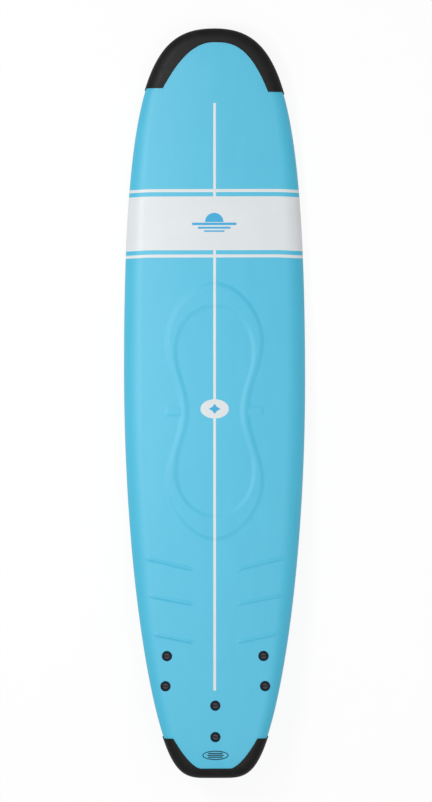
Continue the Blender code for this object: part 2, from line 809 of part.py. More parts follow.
def way_mesh(depth):
    """The stepped hole from under the bottom, a depth below the deck, up through the deck."""
    step = CUP_BOTTOM - GAP
    under = CUP_PROUD - CUP_FLANGE - GAP
    profile = [
        (0, -depth - CUT_PAST),
        (WAY_RADIUS, -depth - CUT_PAST),
        (WAY_RADIUS, step),
        (CUP_OUTSIDE + GAP, step),
        (CUP_OUTSIDE + GAP, under),
        (CUP_RADIUS + GAP, under),
        (CUP_RADIUS + GAP, CUT_PAST),
        (0, CUT_PAST),
    ]
    return turned("way", profile)


def tube_mesh(name, bore, radius, low, high):
    return turned(name, [(bore, low), (radius, low), (radius, high), (bore, high)], tube=True)


def rod_mesh(name, radius, low, high):
    return turned(name, [(0, low), (radius, low), (radius, high), (0, high)])


def deck_above(frame, y):
    """How far above the bottom the deck is, at a place along a fin's mount."""
    base = frame @ Vector((0, y, 0))
    up = frame.to_3x3() @ Vector((0, 0, 1))
    return (full_deck.ray_cast(base + up * HALF_WIDTH, -up)[0] - base).length


def bolt(name, mount, y, depth, slot_turn):
    """One screw with its cup, sleeve and insert, where the deck is a depth above the bottom."""
    on_deck, on_bottom = (0, y, depth), (0, y, 0)
    ways.append(place(f"{name}_way", way_mesh(depth), mount, None, on_deck))
    place(f"{name}_cup", cup_mesh(), mount, cup_plastic, on_deck)
    sleeve = tube_mesh("sleeve", SLEEVE_BORE, SLEEVE_RADIUS, 0, depth + CUP_BOTTOM - GAP)
    place(f"{name}_sleeve", sleeve, mount, sleeve_plastic, on_bottom)
    screw = screw_mesh(POST_HEIGHT - THREAD_HELD - depth)
    screw = place(f"{name}_screw", screw, mount, screw_plastic, on_deck, slot_turn)
    reach = HEAD_RADIUS - SLOT_MARGIN
    low, high = HEAD_TOP - SLOT_DEPTH, HEAD_TOP + SLOT_DEPTH
    slot = box((-reach, -SLOT_WIDTH / 2, low), (reach, SLOT_WIDTH / 2, high))
    slot_cutter = place(f"{name}_slot", slot, screw, None)
    shape(screw, "DIFFERENCE", tools(f"{name}_slot_cut", slot_cutter))
    insert = tube_mesh("insert", INSERT_BORE, INSERT_RADIUS, INSERT_LOW, POST_HEIGHT)
    place(f"{name}_insert", insert, mount, insert_brass, on_bottom)


def middle_of(row):
    return sum((Vector(point) for point in row), Vector()) / len(row)


def capped(rows):
    """Rows of points closed at both ends by a fan about each end row's middle."""
    lids = [[middle_of(row)] * len(row) for row in (rows[0], rows[-1])]
    return [lids[0], *rows, lids[1]]


def blade_mesh(name, cant):
    """A raked fin blade, from its root inside the foot down to its tip."""
    root = FOOT_THICKNESS / 2
    rows = []
    for u in BLADE_LEVELS:
        lead = FIN_CHORD / 2 - (FIN_CHORD / 2 + FIN_RAKE) * u**LEAD_SWEEP
        trail = -FIN_CHORD / 2 - (FIN_RAKE + FIN_TIP - FIN_CHORD / 2) * u**TRAIL_SWEEP
        trail += TRAIL_BULGE * math.sin(math.pi * u)
        thick = FIN_THICKNESS / 2 * (1 - FIN_THINNING * u)
        z = -GAP - root - (FIN_DEPTH - root) * u
        row = []
        for side, chordwise in ((1, BLADE_CHORDWISE[:-1]), (-1, BLADE_CHORDWISE[:0:-1])):
            for c in chordwise:
                half = thick * math.sin(math.pi * c**BLADE_FORWARD) + FIN_EDGE / 2
                row.append((side * half - math.tan(cant) * z, lead + (trail - lead) * c, z))
        rows.append(row)
    return solid(name, capped(rows), wrap_columns=True)


def foot_mesh(spacing):
    """The fin's foot: a plate with round ends that covers the holes of both posts."""
    half = spacing / 2 + FOOT_MARGIN - FOOT_HALF_WIDTH
    levels = ((0, 0), (FOOT_THICKNESS - FOOT_CHAMFER, 0), (FOOT_THICKNESS, FOOT_CHAMFER))
    rows = []
    for down, inset in levels:
        radius = FOOT_HALF_WIDTH - inset
        rim = []
        for k in range(ROUND_SIDES):
            angle = 2 * math.pi * (k + 1 / 2) / ROUND_SIDES
            y = radius * math.sin(angle) + math.copysign(half, math.sin(angle))
            rim.append((radius * math.cos(angle), y, -GAP - down))
        rows.append(rim)
    return solid("foot", capped(rows), wrap_columns=True)


def fin(name, at, out, spacing, toe, cant, slot_turns=(0, 0)):
    """A fin with its two bolts, on a mount that is square to the bottom where the fin stands."""
    slope = math.atan2(rocker(at + SKIN) - rocker(at - SKIN), 2 * SKIN)
    turn = Matrix.Rotation(slope, 4, "X") @ Matrix.Rotation(toe, 4, "Z")
    frame = Matrix.Translation((out, along(at), rocker(at))) @ turn
    mount = empty(f"{name}_mount", board)
    mount.matrix_basis = frame
    blade = place(name, blade_mesh(name, cant), mount, fin_plastic)
    joined, wells = [place(f"{name}_foot", foot_mesh(spacing), mount, None)], []
    for end, y, slot_turn in zip(("front", "rear"), (spacing / 2, -spacing / 2), slot_turns):
        bolt(f"{name}_{end}", mount, y, deck_above(frame, y), slot_turn)
        post = rod_mesh("post", POST_RADIUS, -GAP - FOOT_THICKNESS / 2, POST_HEIGHT)
        well = rod_mesh("well", WELL_RADIUS, INSERT_LOW - GAP, POST_HEIGHT + CUT_PAST)
        joined.append(place(f"{name}_{end}_post", post, mount, None, (0, y, 0)))
        wells.append(place(f"{name}_{end}_well", well, mount, None, (0, y, 0)))
    shape(blade, "UNION", tools(f"{name}_joined", *joined))
    shape(blade, "DIFFERENCE", tools(f"{name}_wells", *wells))
    return blade


side_fin_out = half_width(SIDE_FIN_AT) - SIDE_FIN_FROM_EDGE
fins = [
    fin("fin_left", SIDE_FIN_AT, -side_fin_out, SIDE_BOLT_SPACING, -SIDE_FIN_TOE, -SIDE_FIN_CANT),
    fin("fin_right", SIDE_FIN_AT, side_fin_out, SIDE_BOLT_SPACING, SIDE_FIN_TOE, SIDE_FIN_CANT),
    fin("fin_centre", CENTRE_FIN_AT, 0, CENTRE_BOLT_SPACING, 0, 0, (0, LAST_SLOT_TURN)),
]
fin_ways = tools("fin_ways", *ways)
for node in (deck_skin, *cores, bottom_underlay, bottom_slick):
    shape(node, "DIFFERENCE", fin_ways)


# Lying on the floor
def points_of(node):
    """A node's evaluated points, in the world."""
    evaluated = node.evaluated_get(bpy.context.evaluated_depsgraph_get())
    return [node.matrix_world @ vertex.co for vertex in evaluated.data.vertices]


def resting_slope():
    """The slope of the line that touches the belly and the lowest fin from below."""
    belly = points_of(bottom_slick)
    slopes = []
    for node in fins:
        for tip in points_of(node):
            slopes.append(min((p.z - tip.z) / (p.y - tip.y) for p in belly if p.y > tip.y + FIN_CHORD))
    return max(slopes)


bpy.context.view_layer.update()
board.rotation_euler.x = -math.atan(resting_slope())
bpy.context.view_layer.update()
nodes = [node for node in bpy.context.scene.objects if node.type == "MESH" and not node.hide_render]
reach = [point for node in nodes for point in points_of(node)]
low = Vector([min(point[axis] for point in reach) for axis in range(3)])
high = Vector([max(point[axis] for point in reach) for axis in range(3)])
board.location = (-(low.x + high.x) / 2, -(low.y + high.y) / 2, -low.z)
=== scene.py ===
"""Looks of a soft-top surfboard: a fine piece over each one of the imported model, with light and camera.

The board's own frame has x across, y towards the nose and z up from the lowest point of the bottom. A
place along the board, s, is its distance from the tail.
"""

import math

import bmesh
import bpy
import numpy as np
from mathutils import Matrix, Vector


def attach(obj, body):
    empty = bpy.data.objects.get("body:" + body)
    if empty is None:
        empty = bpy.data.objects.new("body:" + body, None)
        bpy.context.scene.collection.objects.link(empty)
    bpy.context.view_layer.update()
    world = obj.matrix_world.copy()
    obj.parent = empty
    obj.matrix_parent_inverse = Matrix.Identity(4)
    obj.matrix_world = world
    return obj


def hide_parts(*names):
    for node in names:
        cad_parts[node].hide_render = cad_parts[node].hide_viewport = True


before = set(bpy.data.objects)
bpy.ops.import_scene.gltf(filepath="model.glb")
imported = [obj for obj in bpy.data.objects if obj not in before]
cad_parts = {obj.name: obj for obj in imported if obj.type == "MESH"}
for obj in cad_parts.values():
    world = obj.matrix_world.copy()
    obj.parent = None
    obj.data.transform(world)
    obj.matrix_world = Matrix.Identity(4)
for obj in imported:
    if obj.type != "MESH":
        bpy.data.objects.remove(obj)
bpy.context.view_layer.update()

# Foam core
# Three long blocks of expanded bead foam, cut with a hot wire and glued to the stringers. The skin and
# the bottom sheets close it in all round.
BEAD, BEAD_DENT = 0.0035, 0.0008

# The colour sockets of a Mix node, by number because their names aren't unique
SHARE, FIRST, SECOND, MIXED = 0, 6, 7, 2


def linear(code):
    """An sRGB hex colour as the linear colour that a socket takes."""
    parts = [int(code[k : k + 2], 16) / 255 for k in (1, 3, 5)]
    return (*[c / 12.92 if c <= 0.04045 else ((c + 0.055) / 1.055) ** 2.4 for c in parts], 1)


def wire(material, node, feeds):
    """Gives each socket of a node its value, or links it to the output that feeds it."""
    for socket, value in feeds.items():
        if isinstance(value, bpy.types.NodeSocket):
            material.node_tree.links.new(value, node.inputs[socket])
        else:
            node.inputs[socket].default_value = value


def add(material, kind, feeds, **settings):
    """Adds one shader node of a kind to a material, with its settings and links."""
    node = material.node_tree.nodes.new(f"ShaderNode{kind}")
    for name, value in settings.items():
        setattr(node, name, value)
    wire(material, node, feeds)
    return node


def coat(material, feeds):
    """Gives sockets of a material's shader their values and links."""
    wire(material, material.node_tree.nodes["Principled BSDF"], feeds)


def finish(name, feeds):
    """A new material, and where on its piece each point of it is, in metres."""
    material = bpy.data.materials.new(name)
    material.use_nodes = True
    coat(material, feeds)
    return material, add(material, "TexCoord", {}).outputs["Object"]


# Expanded polystyrene, hot-wire cut: matt, with the outlines of its beads
BEAD_WHITE, BEAD_GREY = linear("#F4F4EF"), linear("#E4E4DC")
bead_foam, at = finish("expanded_bead_foam", {"Roughness": 0.85, "IOR": 1.45})
beads = add(bead_foam, "TexVoronoi", {"Vector": at, "Scale": 1 / BEAD}, feature="DISTANCE_TO_EDGE")
tones = add(bead_foam, "TexVoronoi", {"Vector": at, "Scale": 1 / BEAD})
tone = add(bead_foam, "SeparateColor", {"Color": tones.outputs["Color"]})
shade = add(
    bead_foam, "Mix", {SHARE: tone.outputs[0], FIRST: BEAD_WHITE, SECOND: BEAD_GREY}, data_type="RGBA"
)
dents = add(bead_foam, "Bump", {"Height": beads.outputs[0], "Distance": BEAD_DENT, "Strength": 0.8})
coat(bead_foam, {"Base Color": shade.outputs[MIXED], "Normal": dents.outputs[0]})
for name in ("core_left", "core_centre", "core_right"):
    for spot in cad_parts[name].material_slots:
        spot.material = bead_foam

# Stringers
# Two strips of plywood on edge, the whole length of the board, glued between the core blocks to stiffen
# it. Their long sides show the grain of the outer veneer.
VENEER = 0.0015
GRAIN, GRAIN_LENGTH, GRAIN_DENT = 0.0012, 0.04, 0.0002

# How long one wave of the Wave node is at a scale of 1
WAVE_LENGTH = math.pi / 10

# Birch plywood, sawn and left bare: fine grain lengthwise, and the veneers' lines across its edges
BIRCH_PALE, BIRCH_DARK = linear("#D9BC8C"), linear("#A87F4C")
birch_ply, at = finish("sawn_birch_plywood", {"Roughness": 0.7, "IOR": 1.5})
along_grain = add(birch_ply, "Mapping", {"Vector": at, "Scale": (1 / GRAIN, 1 / GRAIN_LENGTH, 1 / GRAIN)})
grain = add(birch_ply, "TexNoise", {"Vector": along_grain.outputs[0], "Scale": 1, "Detail": 4})
plies = add(
    birch_ply, "TexWave", {"Vector": at, "Scale": WAVE_LENGTH / (2 * VENEER), "Distortion": 0.4},
    bands_direction="X",
)
dark_lines = add(birch_ply, "Math", {0: grain.outputs[0], 1: plies.outputs["Fac"]}, operation="MULTIPLY")
shade = add(
    birch_ply, "Mix", {SHARE: dark_lines.outputs[0], FIRST: BIRCH_PALE, SECOND: BIRCH_DARK}, data_type="RGBA"
)
dents = add(birch_ply, "Bump", {"Height": grain.outputs[0], "Distance": GRAIN_DENT, "Strength": 0.5})
coat(birch_ply, {"Base Color": shade.outputs[MIXED], "Normal": dents.outputs[0]})
for name in ("stringer_left", "stringer_right"):
    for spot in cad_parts[name].material_slots:
        spot.material = birch_ply

# Bottom underlay
# A thin sheet of cross-linked foam between the core and the slick sheet, heat-laminated to both, which
# keeps the core's beads from showing through.
CELL, CELL_DENT = 0.0009, 0.0003

# Cross-linked polyethylene foam, sliced: matt white with open cells
CELL_WHITE, CELL_GREY = linear("#F2F2EE"), linear("#DADAD4")
sliced_foam, at = finish("sliced_polyethylene_foam", {"Roughness": 0.8, "IOR": 1.5})
cells = add(sliced_foam, "TexVoronoi", {"Vector": at, "Scale": 1 / CELL})
shade = add(
    sliced_foam, "Mix", {SHARE: cells.outputs[0], FIRST: CELL_WHITE, SECOND: CELL_GREY}, data_type="RGBA"
)
dents = add(sliced_foam, "Bump", {"Height": cells.outputs[0], "Distance": CELL_DENT, "Strength": 0.6})
coat(sliced_foam, {"Base Color": shade.outputs[MIXED], "Normal": dents.outputs[0]})
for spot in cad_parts["bottom_underlay"].material_slots:
    spot.material = sliced_foam

# Bottom slick
# One sheet of smooth polyethylene over the whole bottom, heat-laminated and trimmed where the deck skin
# wraps under the rail. Six round holes in it let the fins' posts through.

# How the board lies on its belly and its fins' tips: tilted nose down, then shifted along and up
LIE_TILT, LIE_SHIFT = -0.0683378, Vector((0, -0.0072190, 0.0184843))
LIE = Matrix.Translation(LIE_SHIFT) @ Matrix.Rotation(LIE_TILT, 4, "X")

# Plan shape: a pull is a curve's handle as a share of the span beside it, and LIP is how far the bumpers
# stand proud
LENGTH = 2.4384
HALF_WIDTH = 0.295
WIDE_POINT = LENGTH * 0.5372
NOSE_SIDE_PULL, NOSE_TIP_PULL, TAIL_SIDE_PULL, TAIL_TIP_PULL = 0.877, 0.664, 0.482, 0.4715
TAIL_CORNER = Vector((0.1527, 0.090))
TAIL_CORNER_LEAN = math.radians(23.2)
CORNER_FORE_PULL, CORNER_AFT_PULL = 0.141, 0.684
LIP = 0.003
CURVE_POINTS = 4000

# Side shape, and the rail's section where the board is thickest
THICKNESS, NOSE_THICKNESS, TAIL_THICKNESS = 0.086, 0.042, 0.045
THICK_POINT, FOIL_POWER = LENGTH * 0.5085, 2.6
FLAT_POINT = LENGTH * 0.4511
NOSE_ROCKER, TAIL_ROCKER = 0.125, 0.055
NOSE_ROCKER_POWER, TAIL_ROCKER_POWER = 2.7, 2.2
CROWN, RAIL_DROP, RAIL_IN, EDGE_IN = 0.020, 0.030, 0.060, 0.032
RAIL_RISE = THICKNESS - CROWN - RAIL_DROP

# Layers, the play between pieces, and how far in from the edge the bottom's seam is
GAP, SKIN, SLICK, SEAM_IN = 0.0003, 0.0052, 0.0015, 0.038

# Near its ends the board's sections fan out from two poles, and between them they are square across it
TAIL_POLE, NOSE_POLE = 0.1286, LENGTH - 0.194
FAN_RAYS = 110

# How closely an edge is searched for, and how far out
HALVINGS, SEARCH_OUT = 30, 1.5


def outline_points():
    """The right edge in plan, tail to nose, along its three curves."""
    tail, wide, nose = Vector((0, LIP)), Vector((HALF_WIDTH, WIDE_POINT)), Vector((0, LENGTH - LIP))
    lean = Vector((math.sin(TAIL_CORNER_LEAN), math.cos(TAIL_CORNER_LEAN)))
    side, front = WIDE_POINT - TAIL_CORNER.y, LENGTH - LIP - WIDE_POINT
    before_corner = TAIL_CORNER - lean * CORNER_AFT_PULL * TAIL_CORNER.x
    past_corner = TAIL_CORNER + lean * CORNER_FORE_PULL * side
    beside_nose = nose + Vector((NOSE_TIP_PULL * HALF_WIDTH, 0))
    curves = (
        (tail, tail + Vector((TAIL_TIP_PULL * TAIL_CORNER.x, 0)), before_corner, TAIL_CORNER),
        (TAIL_CORNER, past_corner, wide - Vector((0, TAIL_SIDE_PULL * side)), wide),
        (wide, wide + Vector((0, NOSE_SIDE_PULL * front)), beside_nose, nose),
    )
    t = np.linspace(0, 1, CURVE_POINTS)[:, None]
    runs = []
    for curve in curves:
        a, b, c, d = (np.array(point) for point in curve)
        runs.append(a * (1 - t) ** 3 + b * 3 * t * (1 - t) ** 2 + c * 3 * t * t * (1 - t) + d * t**3)
    return np.vstack(runs)


EDGE = outline_points()


def half_width(s):
    return np.interp(s, EDGE[:, 1], EDGE[:, 0])


def ends_share(s, point, power):
    """How far s is from a point on the board's length, as a power of its share of the way to the tip."""
    span = np.where(s > point, LENGTH - LIP - point, point - LIP)
    return (np.abs(s - point) / span) ** power


def foil(s):
    """The board's thickness at s, as a share of its most."""
    end = np.where(s > THICK_POINT, NOSE_THICKNESS, TAIL_THICKNESS)
    return 1 - (1 - end / THICKNESS) * np.minimum(1, ends_share(s, THICK_POINT, FOIL_POWER))


def rocker(s):
    """How high the bottom is at s."""
    nose = NOSE_ROCKER * ends_share(s, FLAT_POINT, NOSE_ROCKER_POWER)
    tail = TAIL_ROCKER * ends_share(s, FLAT_POINT, TAIL_ROCKER_POWER)
    return np.where(s > FLAT_POINT, nose, tail)


def fan_reach(pole, angle, sign):
    """How far the edge is from a pole near a tip, at each angle from the centre line."""
    low, high = np.zeros_like(angle), np.full_like(angle, HALF_WIDTH * SEARCH_OUT)
    for _ in range(HALVINGS):
        r = (low + high) / 2
        s = pole + sign * np.cos(angle) * r
        inside = (LIP < s) & (s < LENGTH - LIP) & (np.sin(angle) * r < half_width(s))
        low, high = np.where(inside, r, low), np.where(inside, high, r)
    return (low + high) / 2


def fan(pole, sign):
    """Sections that fan out from a pole, from the tip to the side: edge x, edge s and centre s."""
    angle = np.linspace(0, math.pi / 2, FAN_RAYS, endpoint=False)
    reach = fan_reach(pole, angle, sign)
    edge_x, edge_s = np.sin(angle) * reach, pole + sign * np.cos(angle) * reach
    return np.stack([edge_x, edge_s, np.full_like(angle, pole)], -1)


def across_at(s):
    """Sections square across the board."""
    s = np.atleast_1d(s)
    return np.stack([half_width(s), s, s], -1)


def all_sections(step):
    between = across_at(np.linspace(TAIL_POLE, NOSE_POLE, round((NOSE_POLE - TAIL_POLE) / step)))
    return np.vstack([fan(TAIL_POLE, -1), between, fan(NOSE_POLE, 1)[::-1]])


def columns(sections):
    """The sections' edge x, edge s and centre s, each as a column."""
    return np.split(sections, 3, axis=1)


def surface(edge_x, edge_s, centre_s, v, inset=0.0):
    """Points of the board's outside, or of a layer inset below it.

    v runs -2 at the middle of the bottom, -1 where the lower rail arc starts, 0 at the rail's widest,
    1 where the upper rail arc ends and 2 at the middle of the deck.
    """
    reach = np.hypot(edge_x, centre_s - edge_s)
    arc_in = np.where(v >= 0, RAIL_IN, EDGE_IN) * foil(edge_s)
    arc = np.minimum(np.abs(v), 1) * math.pi / 2
    depth = arc_in - (arc_in - inset) * np.cos(arc)
    depth = np.where(np.abs(v) > 1, arc_in + (np.abs(v) - 1) * (reach - arc_in), depth)
    inward = depth / reach
    x, s = edge_x * (1 - inward), edge_s + (centre_s - edge_s) * inward
    share = foil(s)
    widest = rocker(s) + RAIL_DROP * share
    crown = np.maximum(0, inward)
    up = widest + (RAIL_RISE * share - inset) * np.sin(arc) + CROWN * share * crown * (2 - crown)
    down = widest - (RAIL_DROP * share - inset) * np.sin(arc)
    return np.stack(np.broadcast_arrays(x, s - LENGTH / 2, np.where(v < 0, down, up)), -1)


def v_at(sections, depth, side):
    """The v of a plan depth in from the edge, on the deck (side 1) or the bottom (side -1)."""
    edge_x, edge_s, centre_s = columns(sections)
    arc_in = (RAIL_IN if side > 0 else EDGE_IN) * foil(edge_s)
    reach = np.hypot(edge_x, centre_s - edge_s)
    on_arc = np.arccos(np.clip(1 - depth / arc_in, -1, 1)) / (math.pi / 2)
    return side * np.where(depth < arc_in, on_arc, 1 + (depth - arc_in) / (reach - arc_in))


def both_sides(right):
    """Rows that run from the right edge to the centre line, carried on to the left edge."""
    return np.concatenate([right, right[:, -2::-1] * (-1, 1, 1)], 1)


def woven(name, grid, round_rows=False, round_columns=False, sharp=50):
    """A mesh from a grid of points. Points that meet to the nearest micrometre become one, and a face
    with no area is left out. Edges sharper than so many degrees are drawn sharp."""
    rows, across = grid.shape[:2]
    points, ids = np.unique(np.round(grid.reshape(-1, 3), 6), axis=0, return_inverse=True)
    ids = ids.reshape(rows, across)
    if round_rows:
        ids = np.vstack([ids, ids[:1]])
    if round_columns:
        ids = np.hstack([ids, ids[:, :1]])
    quads = np.stack([ids[:-1, :-1], ids[:-1, 1:], ids[1:, 1:], ids[1:, :-1]], -1).reshape(-1, 4)
    faces = [tuple(dict.fromkeys(quad)) for quad in quads.tolist()]
    mesh = bpy.data.meshes.new(name)
    mesh.from_pydata(points.tolist(), [], [face for face in faces if len(face) > 2])
    mesh.shade_smooth()
    mesh.set_sharp_from_angle(angle=math.radians(sharp))
    return mesh


def piece(name, mesh, material, place=Matrix()):
    """An object of the board, from a mesh in the board's own frame or at a place in it."""
    mesh.transform(LIE @ place)
    mesh.materials.append(material)
    made = bpy.data.objects.new(name, mesh)
    bpy.context.scene.collection.objects.link(made)
    return made


def facing_out(mesh, point, way):
    """Turns the mesh's faces round if the one nearest to a point doesn't face a way."""
    near = min(mesh.polygons, key=lambda face: (face.center - Vector(point)).length_squared)
    if near.normal.dot(Vector(way)) < 0:
        mesh.flip_normals()
    return mesh


# Where the fins stand, square to the bottom, and where their bolts pass through it
SIDE_FIN_AT, SIDE_FIN_FROM_EDGE, SIDE_FIN_TOE = 0.344, 0.0599, math.radians(2.9)
CENTRE_FIN_AT = 0.1796
SIDE_BOLT_SPACING, CENTRE_BOLT_SPACING = 0.098, 0.102


def mount_at(s, out, toe):
    """A fin's place; the bottom's slope there is taken over a skin's thickness either way."""
    slope = math.atan2(float(rocker(s + SKIN) - rocker(s - SKIN)), 2 * SKIN)
    turn = Matrix.Rotation(slope, 4, "X") @ Matrix.Rotation(toe, 4, "Z")
    return Matrix.Translation((out, s - LENGTH / 2, float(rocker(s)))) @ turn


side_out = float(half_width(SIDE_FIN_AT)) - SIDE_FIN_FROM_EDGE
FIN_MOUNTS = {
    "fin_left": (mount_at(SIDE_FIN_AT, -side_out, -SIDE_FIN_TOE), SIDE_BOLT_SPACING),
    "fin_right": (mount_at(SIDE_FIN_AT, side_out, SIDE_FIN_TOE), SIDE_BOLT_SPACING),
    "fin_centre": (mount_at(CENTRE_FIN_AT, 0, 0), CENTRE_BOLT_SPACING),
}
BOLTS = {
    f"{fin}_{end}": mount @ Matrix.Translation((0, side * spacing / 2, 0))
    for fin, (mount, spacing) in FIN_MOUNTS.items()
    for end, side in (("front", 1), ("rear", -1))
}


def all_round(count):
    """So many angles all round, as a column."""
    return np.linspace(0, 2 * math.pi, count, endpoint=False)[:, None]


def about_axis(angle, r, z):
    """Points at radii and heights round the z axis."""
    return np.stack(np.broadcast_arrays(r * np.cos(angle), r * np.sin(angle), z), -1)


def turned(name, profile, sides=64, closed=True):
    """A round piece about its own z axis, from its half section as (radius, height) points."""
    grid = about_axis(all_round(sides), *np.array(profile, float).T)
    return woven(name, grid, round_rows=True, round_columns=closed, sharp=35)


def carve(target, *cutters):
    """Cuts the cutters out of a piece for good."""
    for cutter in cutters:
        cut = target.modifiers.new("cut", "BOOLEAN")
        cut.object, cut.operation, cut.solver = cutter, "DIFFERENCE", "EXACT"
    bpy.context.view_layer.update()
    mesh = bpy.data.meshes.new_from_object(target.evaluated_get(bpy.context.evaluated_depsgraph_get()))
    mesh.set_sharp_from_angle(angle=math.radians(40))
    target.modifiers.clear()
    target.data = mesh
    for cutter in cutters:
        bpy.data.objects.remove(cutter)


# The sheet's rows, its lanes as shares of the way from the seam to the centre line, and how much its
# trimmed edge is rounded
BOTTOM_STEP = 0.012
BOTTOM_LANES = np.array([0, 0.004, 0.02, 0.4, 0.8, 1])
TRIM_ROUND = 0.0004


def bottom_grid():
    """The sheet's underside from edge to edge, and back over its upper side."""
    sections = all_sections(BOTTOM_STEP)
    seam = v_at(sections, SEAM_IN + GAP, -1)
    under = both_sides(surface(*columns(sections), seam + (-2 - seam) * BOTTOM_LANES))
    over = under[:, ::-1] + np.array([0, 0, SLICK])
    under[:, [0, -1], 2] += TRIM_ROUND
    return np.concatenate([under, over], 1)


# High-density polyethylene, rolled: satin gloss, with faint lengthwise scratches from sand and slow
# clouds of tone
SCRATCH, SCRATCH_LENGTH, SCRATCH_DEPTH, CLOUD = 0.0008, 0.04, 0.00005, 0.11
SLICK_BLUE, SLICK_PALE = linear("#4FA6CC"), linear("#5FB3D6")
slick_sheet, at = finish("rolled_polyethylene_sheet", {"Roughness": 0.3, "IOR": 1.53})
along_scratches = add(slick_sheet, "Mapping", {"Vector": at, "Scale": (1 / SCRATCH, 1 / SCRATCH_LENGTH, 1)})
scratches = add(slick_sheet, "TexNoise", {"Vector": along_scratches.outputs[0], "Scale": 1, "Detail": 3})
clouds = add(slick_sheet, "TexNoise", {"Vector": at, "Scale": 1 / CLOUD, "Detail": 4})
shade = add(
    slick_sheet, "Mix", {SHARE: clouds.outputs[0], FIRST: SLICK_BLUE, SECOND: SLICK_PALE}, data_type="RGBA"
)
dull = add(slick_sheet, "MapRange", {
    "Value": scratches.outputs[0], "From Min": 0.35, "From Max": 0.7, "To Min": 0.22, "To Max": 0.42,
})
dents = add(slick_sheet, "Bump", {"Height": scratches.outputs[0], "Distance": SCRATCH_DEPTH, "Strength": 0.5})
coat(slick_sheet, {
    "Base Color": shade.outputs[MIXED], "Roughness": dull.outputs[0], "Normal": dents.outputs[0],
})
bottom_mesh = facing_out(woven("bottom_sheet", bottom_grid(), round_columns=True), (0, 0, 0), (0, 0, -1))
bottom_sheet = piece("bottom_sheet", bottom_mesh, slick_sheet)

# The ways for the fins' posts, cut out by rods that run past the sheet on both sides
WAY_RADIUS, WAY_SIDES, CUT_PAST = 0.0103, 72, 0.03
way_profile = [(0, -CUT_PAST), (WAY_RADIUS, -CUT_PAST), (WAY_RADIUS, CUT_PAST), (0, CUT_PAST)]
ways = []
for name, place in BOLTS.items():
    way = turned("way", way_profile, WAY_SIDES, closed=False)
    ways.append(piece(f"{name}_way", facing_out(way, (WAY_RADIUS, 0, 0), (1, 0, 0)), slick_sheet, place))
carve(bottom_sheet, *ways)
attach(bottom_sheet, "board")
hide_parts("bottom_slick")

# Deck skin
# One sheet of soft closed-cell foam over the deck and round both rails to the bottom seam. It is heated
# and pressed in a mould, which raises the hourglass rib, its two tabs and the six bars near the tail.

# The rib: half sizes of its outer contour, and how much further in its inner one lies
RIB_AT = LENGTH * 0.4897
RIB_WAIST, RIB_LOBE, RIB_LOBE_AT, RIB_END = 0.108, 0.155, 0.2295, 0.416
RIB_WAIST_WIDTH, RIB_LOBE_WIDTH, RIB_LOBE_SHIFT, RIB_END_WIDTH = 0.0194, 0.028, 0.0345, 0.074
RIB_END_POWER, RIB_POWER_GAIN = 1.8, 0.2
RIB_KNEE, RIB_POINTS = 0.45, 160
PRESS_RISE, RIB_SLOPE = 0.0030, 0.018

# The tabs beside its waist, and the bars: a row of bars is its inner ends' place as a share of the length
# and how far the outer ends lie ahead
TAB_INSIDE, TAB_REACH, TAB_LENGTH, TAB_SLOPE, TAB_SHARE = 0.01, 0.054, 0.038, 0.011, 0.5
BAR_HALF, BAR_IN, BAR_FROM_EDGE, BAR_SHARE, BAR_FADE = 0.0085, 0.067, 0.0384, 0.85, 0.12
BAR_ROWS = ((0.27805, 0.040), (0.23212, 0.029), (0.18127, 0.0275))

# The skin's rows and lanes, and the v from which the mould raises it
STEP = 0.0025
LOWER_RAIL = np.linspace(-1, 0, 9)
UPPER_RAIL, DECK_LANES = np.linspace(0, 1, 21)[1:], np.linspace(1, 2, 105)[1:]
PRESSED_FROM = 0.3


def rib_quarter(inward):
    """A quarter of the rib's contour, from the waist to the end: how far out and how far along."""
    share = np.linspace(0, 1, RIB_POINTS)
    waist = RIB_WAIST - RIB_WAIST_WIDTH * inward
    lobe = RIB_LOBE - RIB_LOBE_WIDTH * inward
    lobe_at = RIB_LOBE_AT - RIB_LOBE_SHIFT * inward
    end = RIB_END - RIB_END_WIDTH * inward
    side = lobe_at * share / RIB_KNEE
    side_out = (lobe + waist) / 2 - (lobe - waist) / 2 * np.cos(math.pi * side / lobe_at)
    angle = math.pi / 2 * np.clip((share - RIB_KNEE) / (1 - RIB_KNEE), 0, 1)
    power = 2 / (RIB_END_POWER + RIB_POWER_GAIN * inward)
    round_y = lobe_at + (end - lobe_at) * np.sin(angle) ** power
    round_out = lobe * np.cos(angle) ** power
    low = share < RIB_KNEE
    return np.stack([np.where(low, side_out, round_out), np.where(low, side, round_y)], -1)


def off_contour(x, y, contour):
    """How far inside a contour's quarter each point is; outside it is less than 0."""
    nearest = np.full(x.shape, np.inf)
    for (from_x, from_y), (dx, dy) in zip(contour[:-1], contour[1:] - contour[:-1]):
        t = np.clip(((x - from_x) * dx + (y - from_y) * dy) / (dx * dx + dy * dy), 0, 1)
        nearest = np.minimum(nearest, np.hypot(x - from_x - t * dx, y - from_y - t * dy))
    inside = (y < contour[-1, 1]) & (x < np.interp(y, contour[:, 1], contour[:, 0]))
    return np.where(inside, nearest, -nearest)


def eased(share):
    """0 to 1 with a soft start and a soft stop."""
    share = np.clip(share, 0, 1)
    return share * share * (3 - 2 * share)


OUTER_RIB, INNER_RIB = rib_quarter(0), rib_quarter(1)


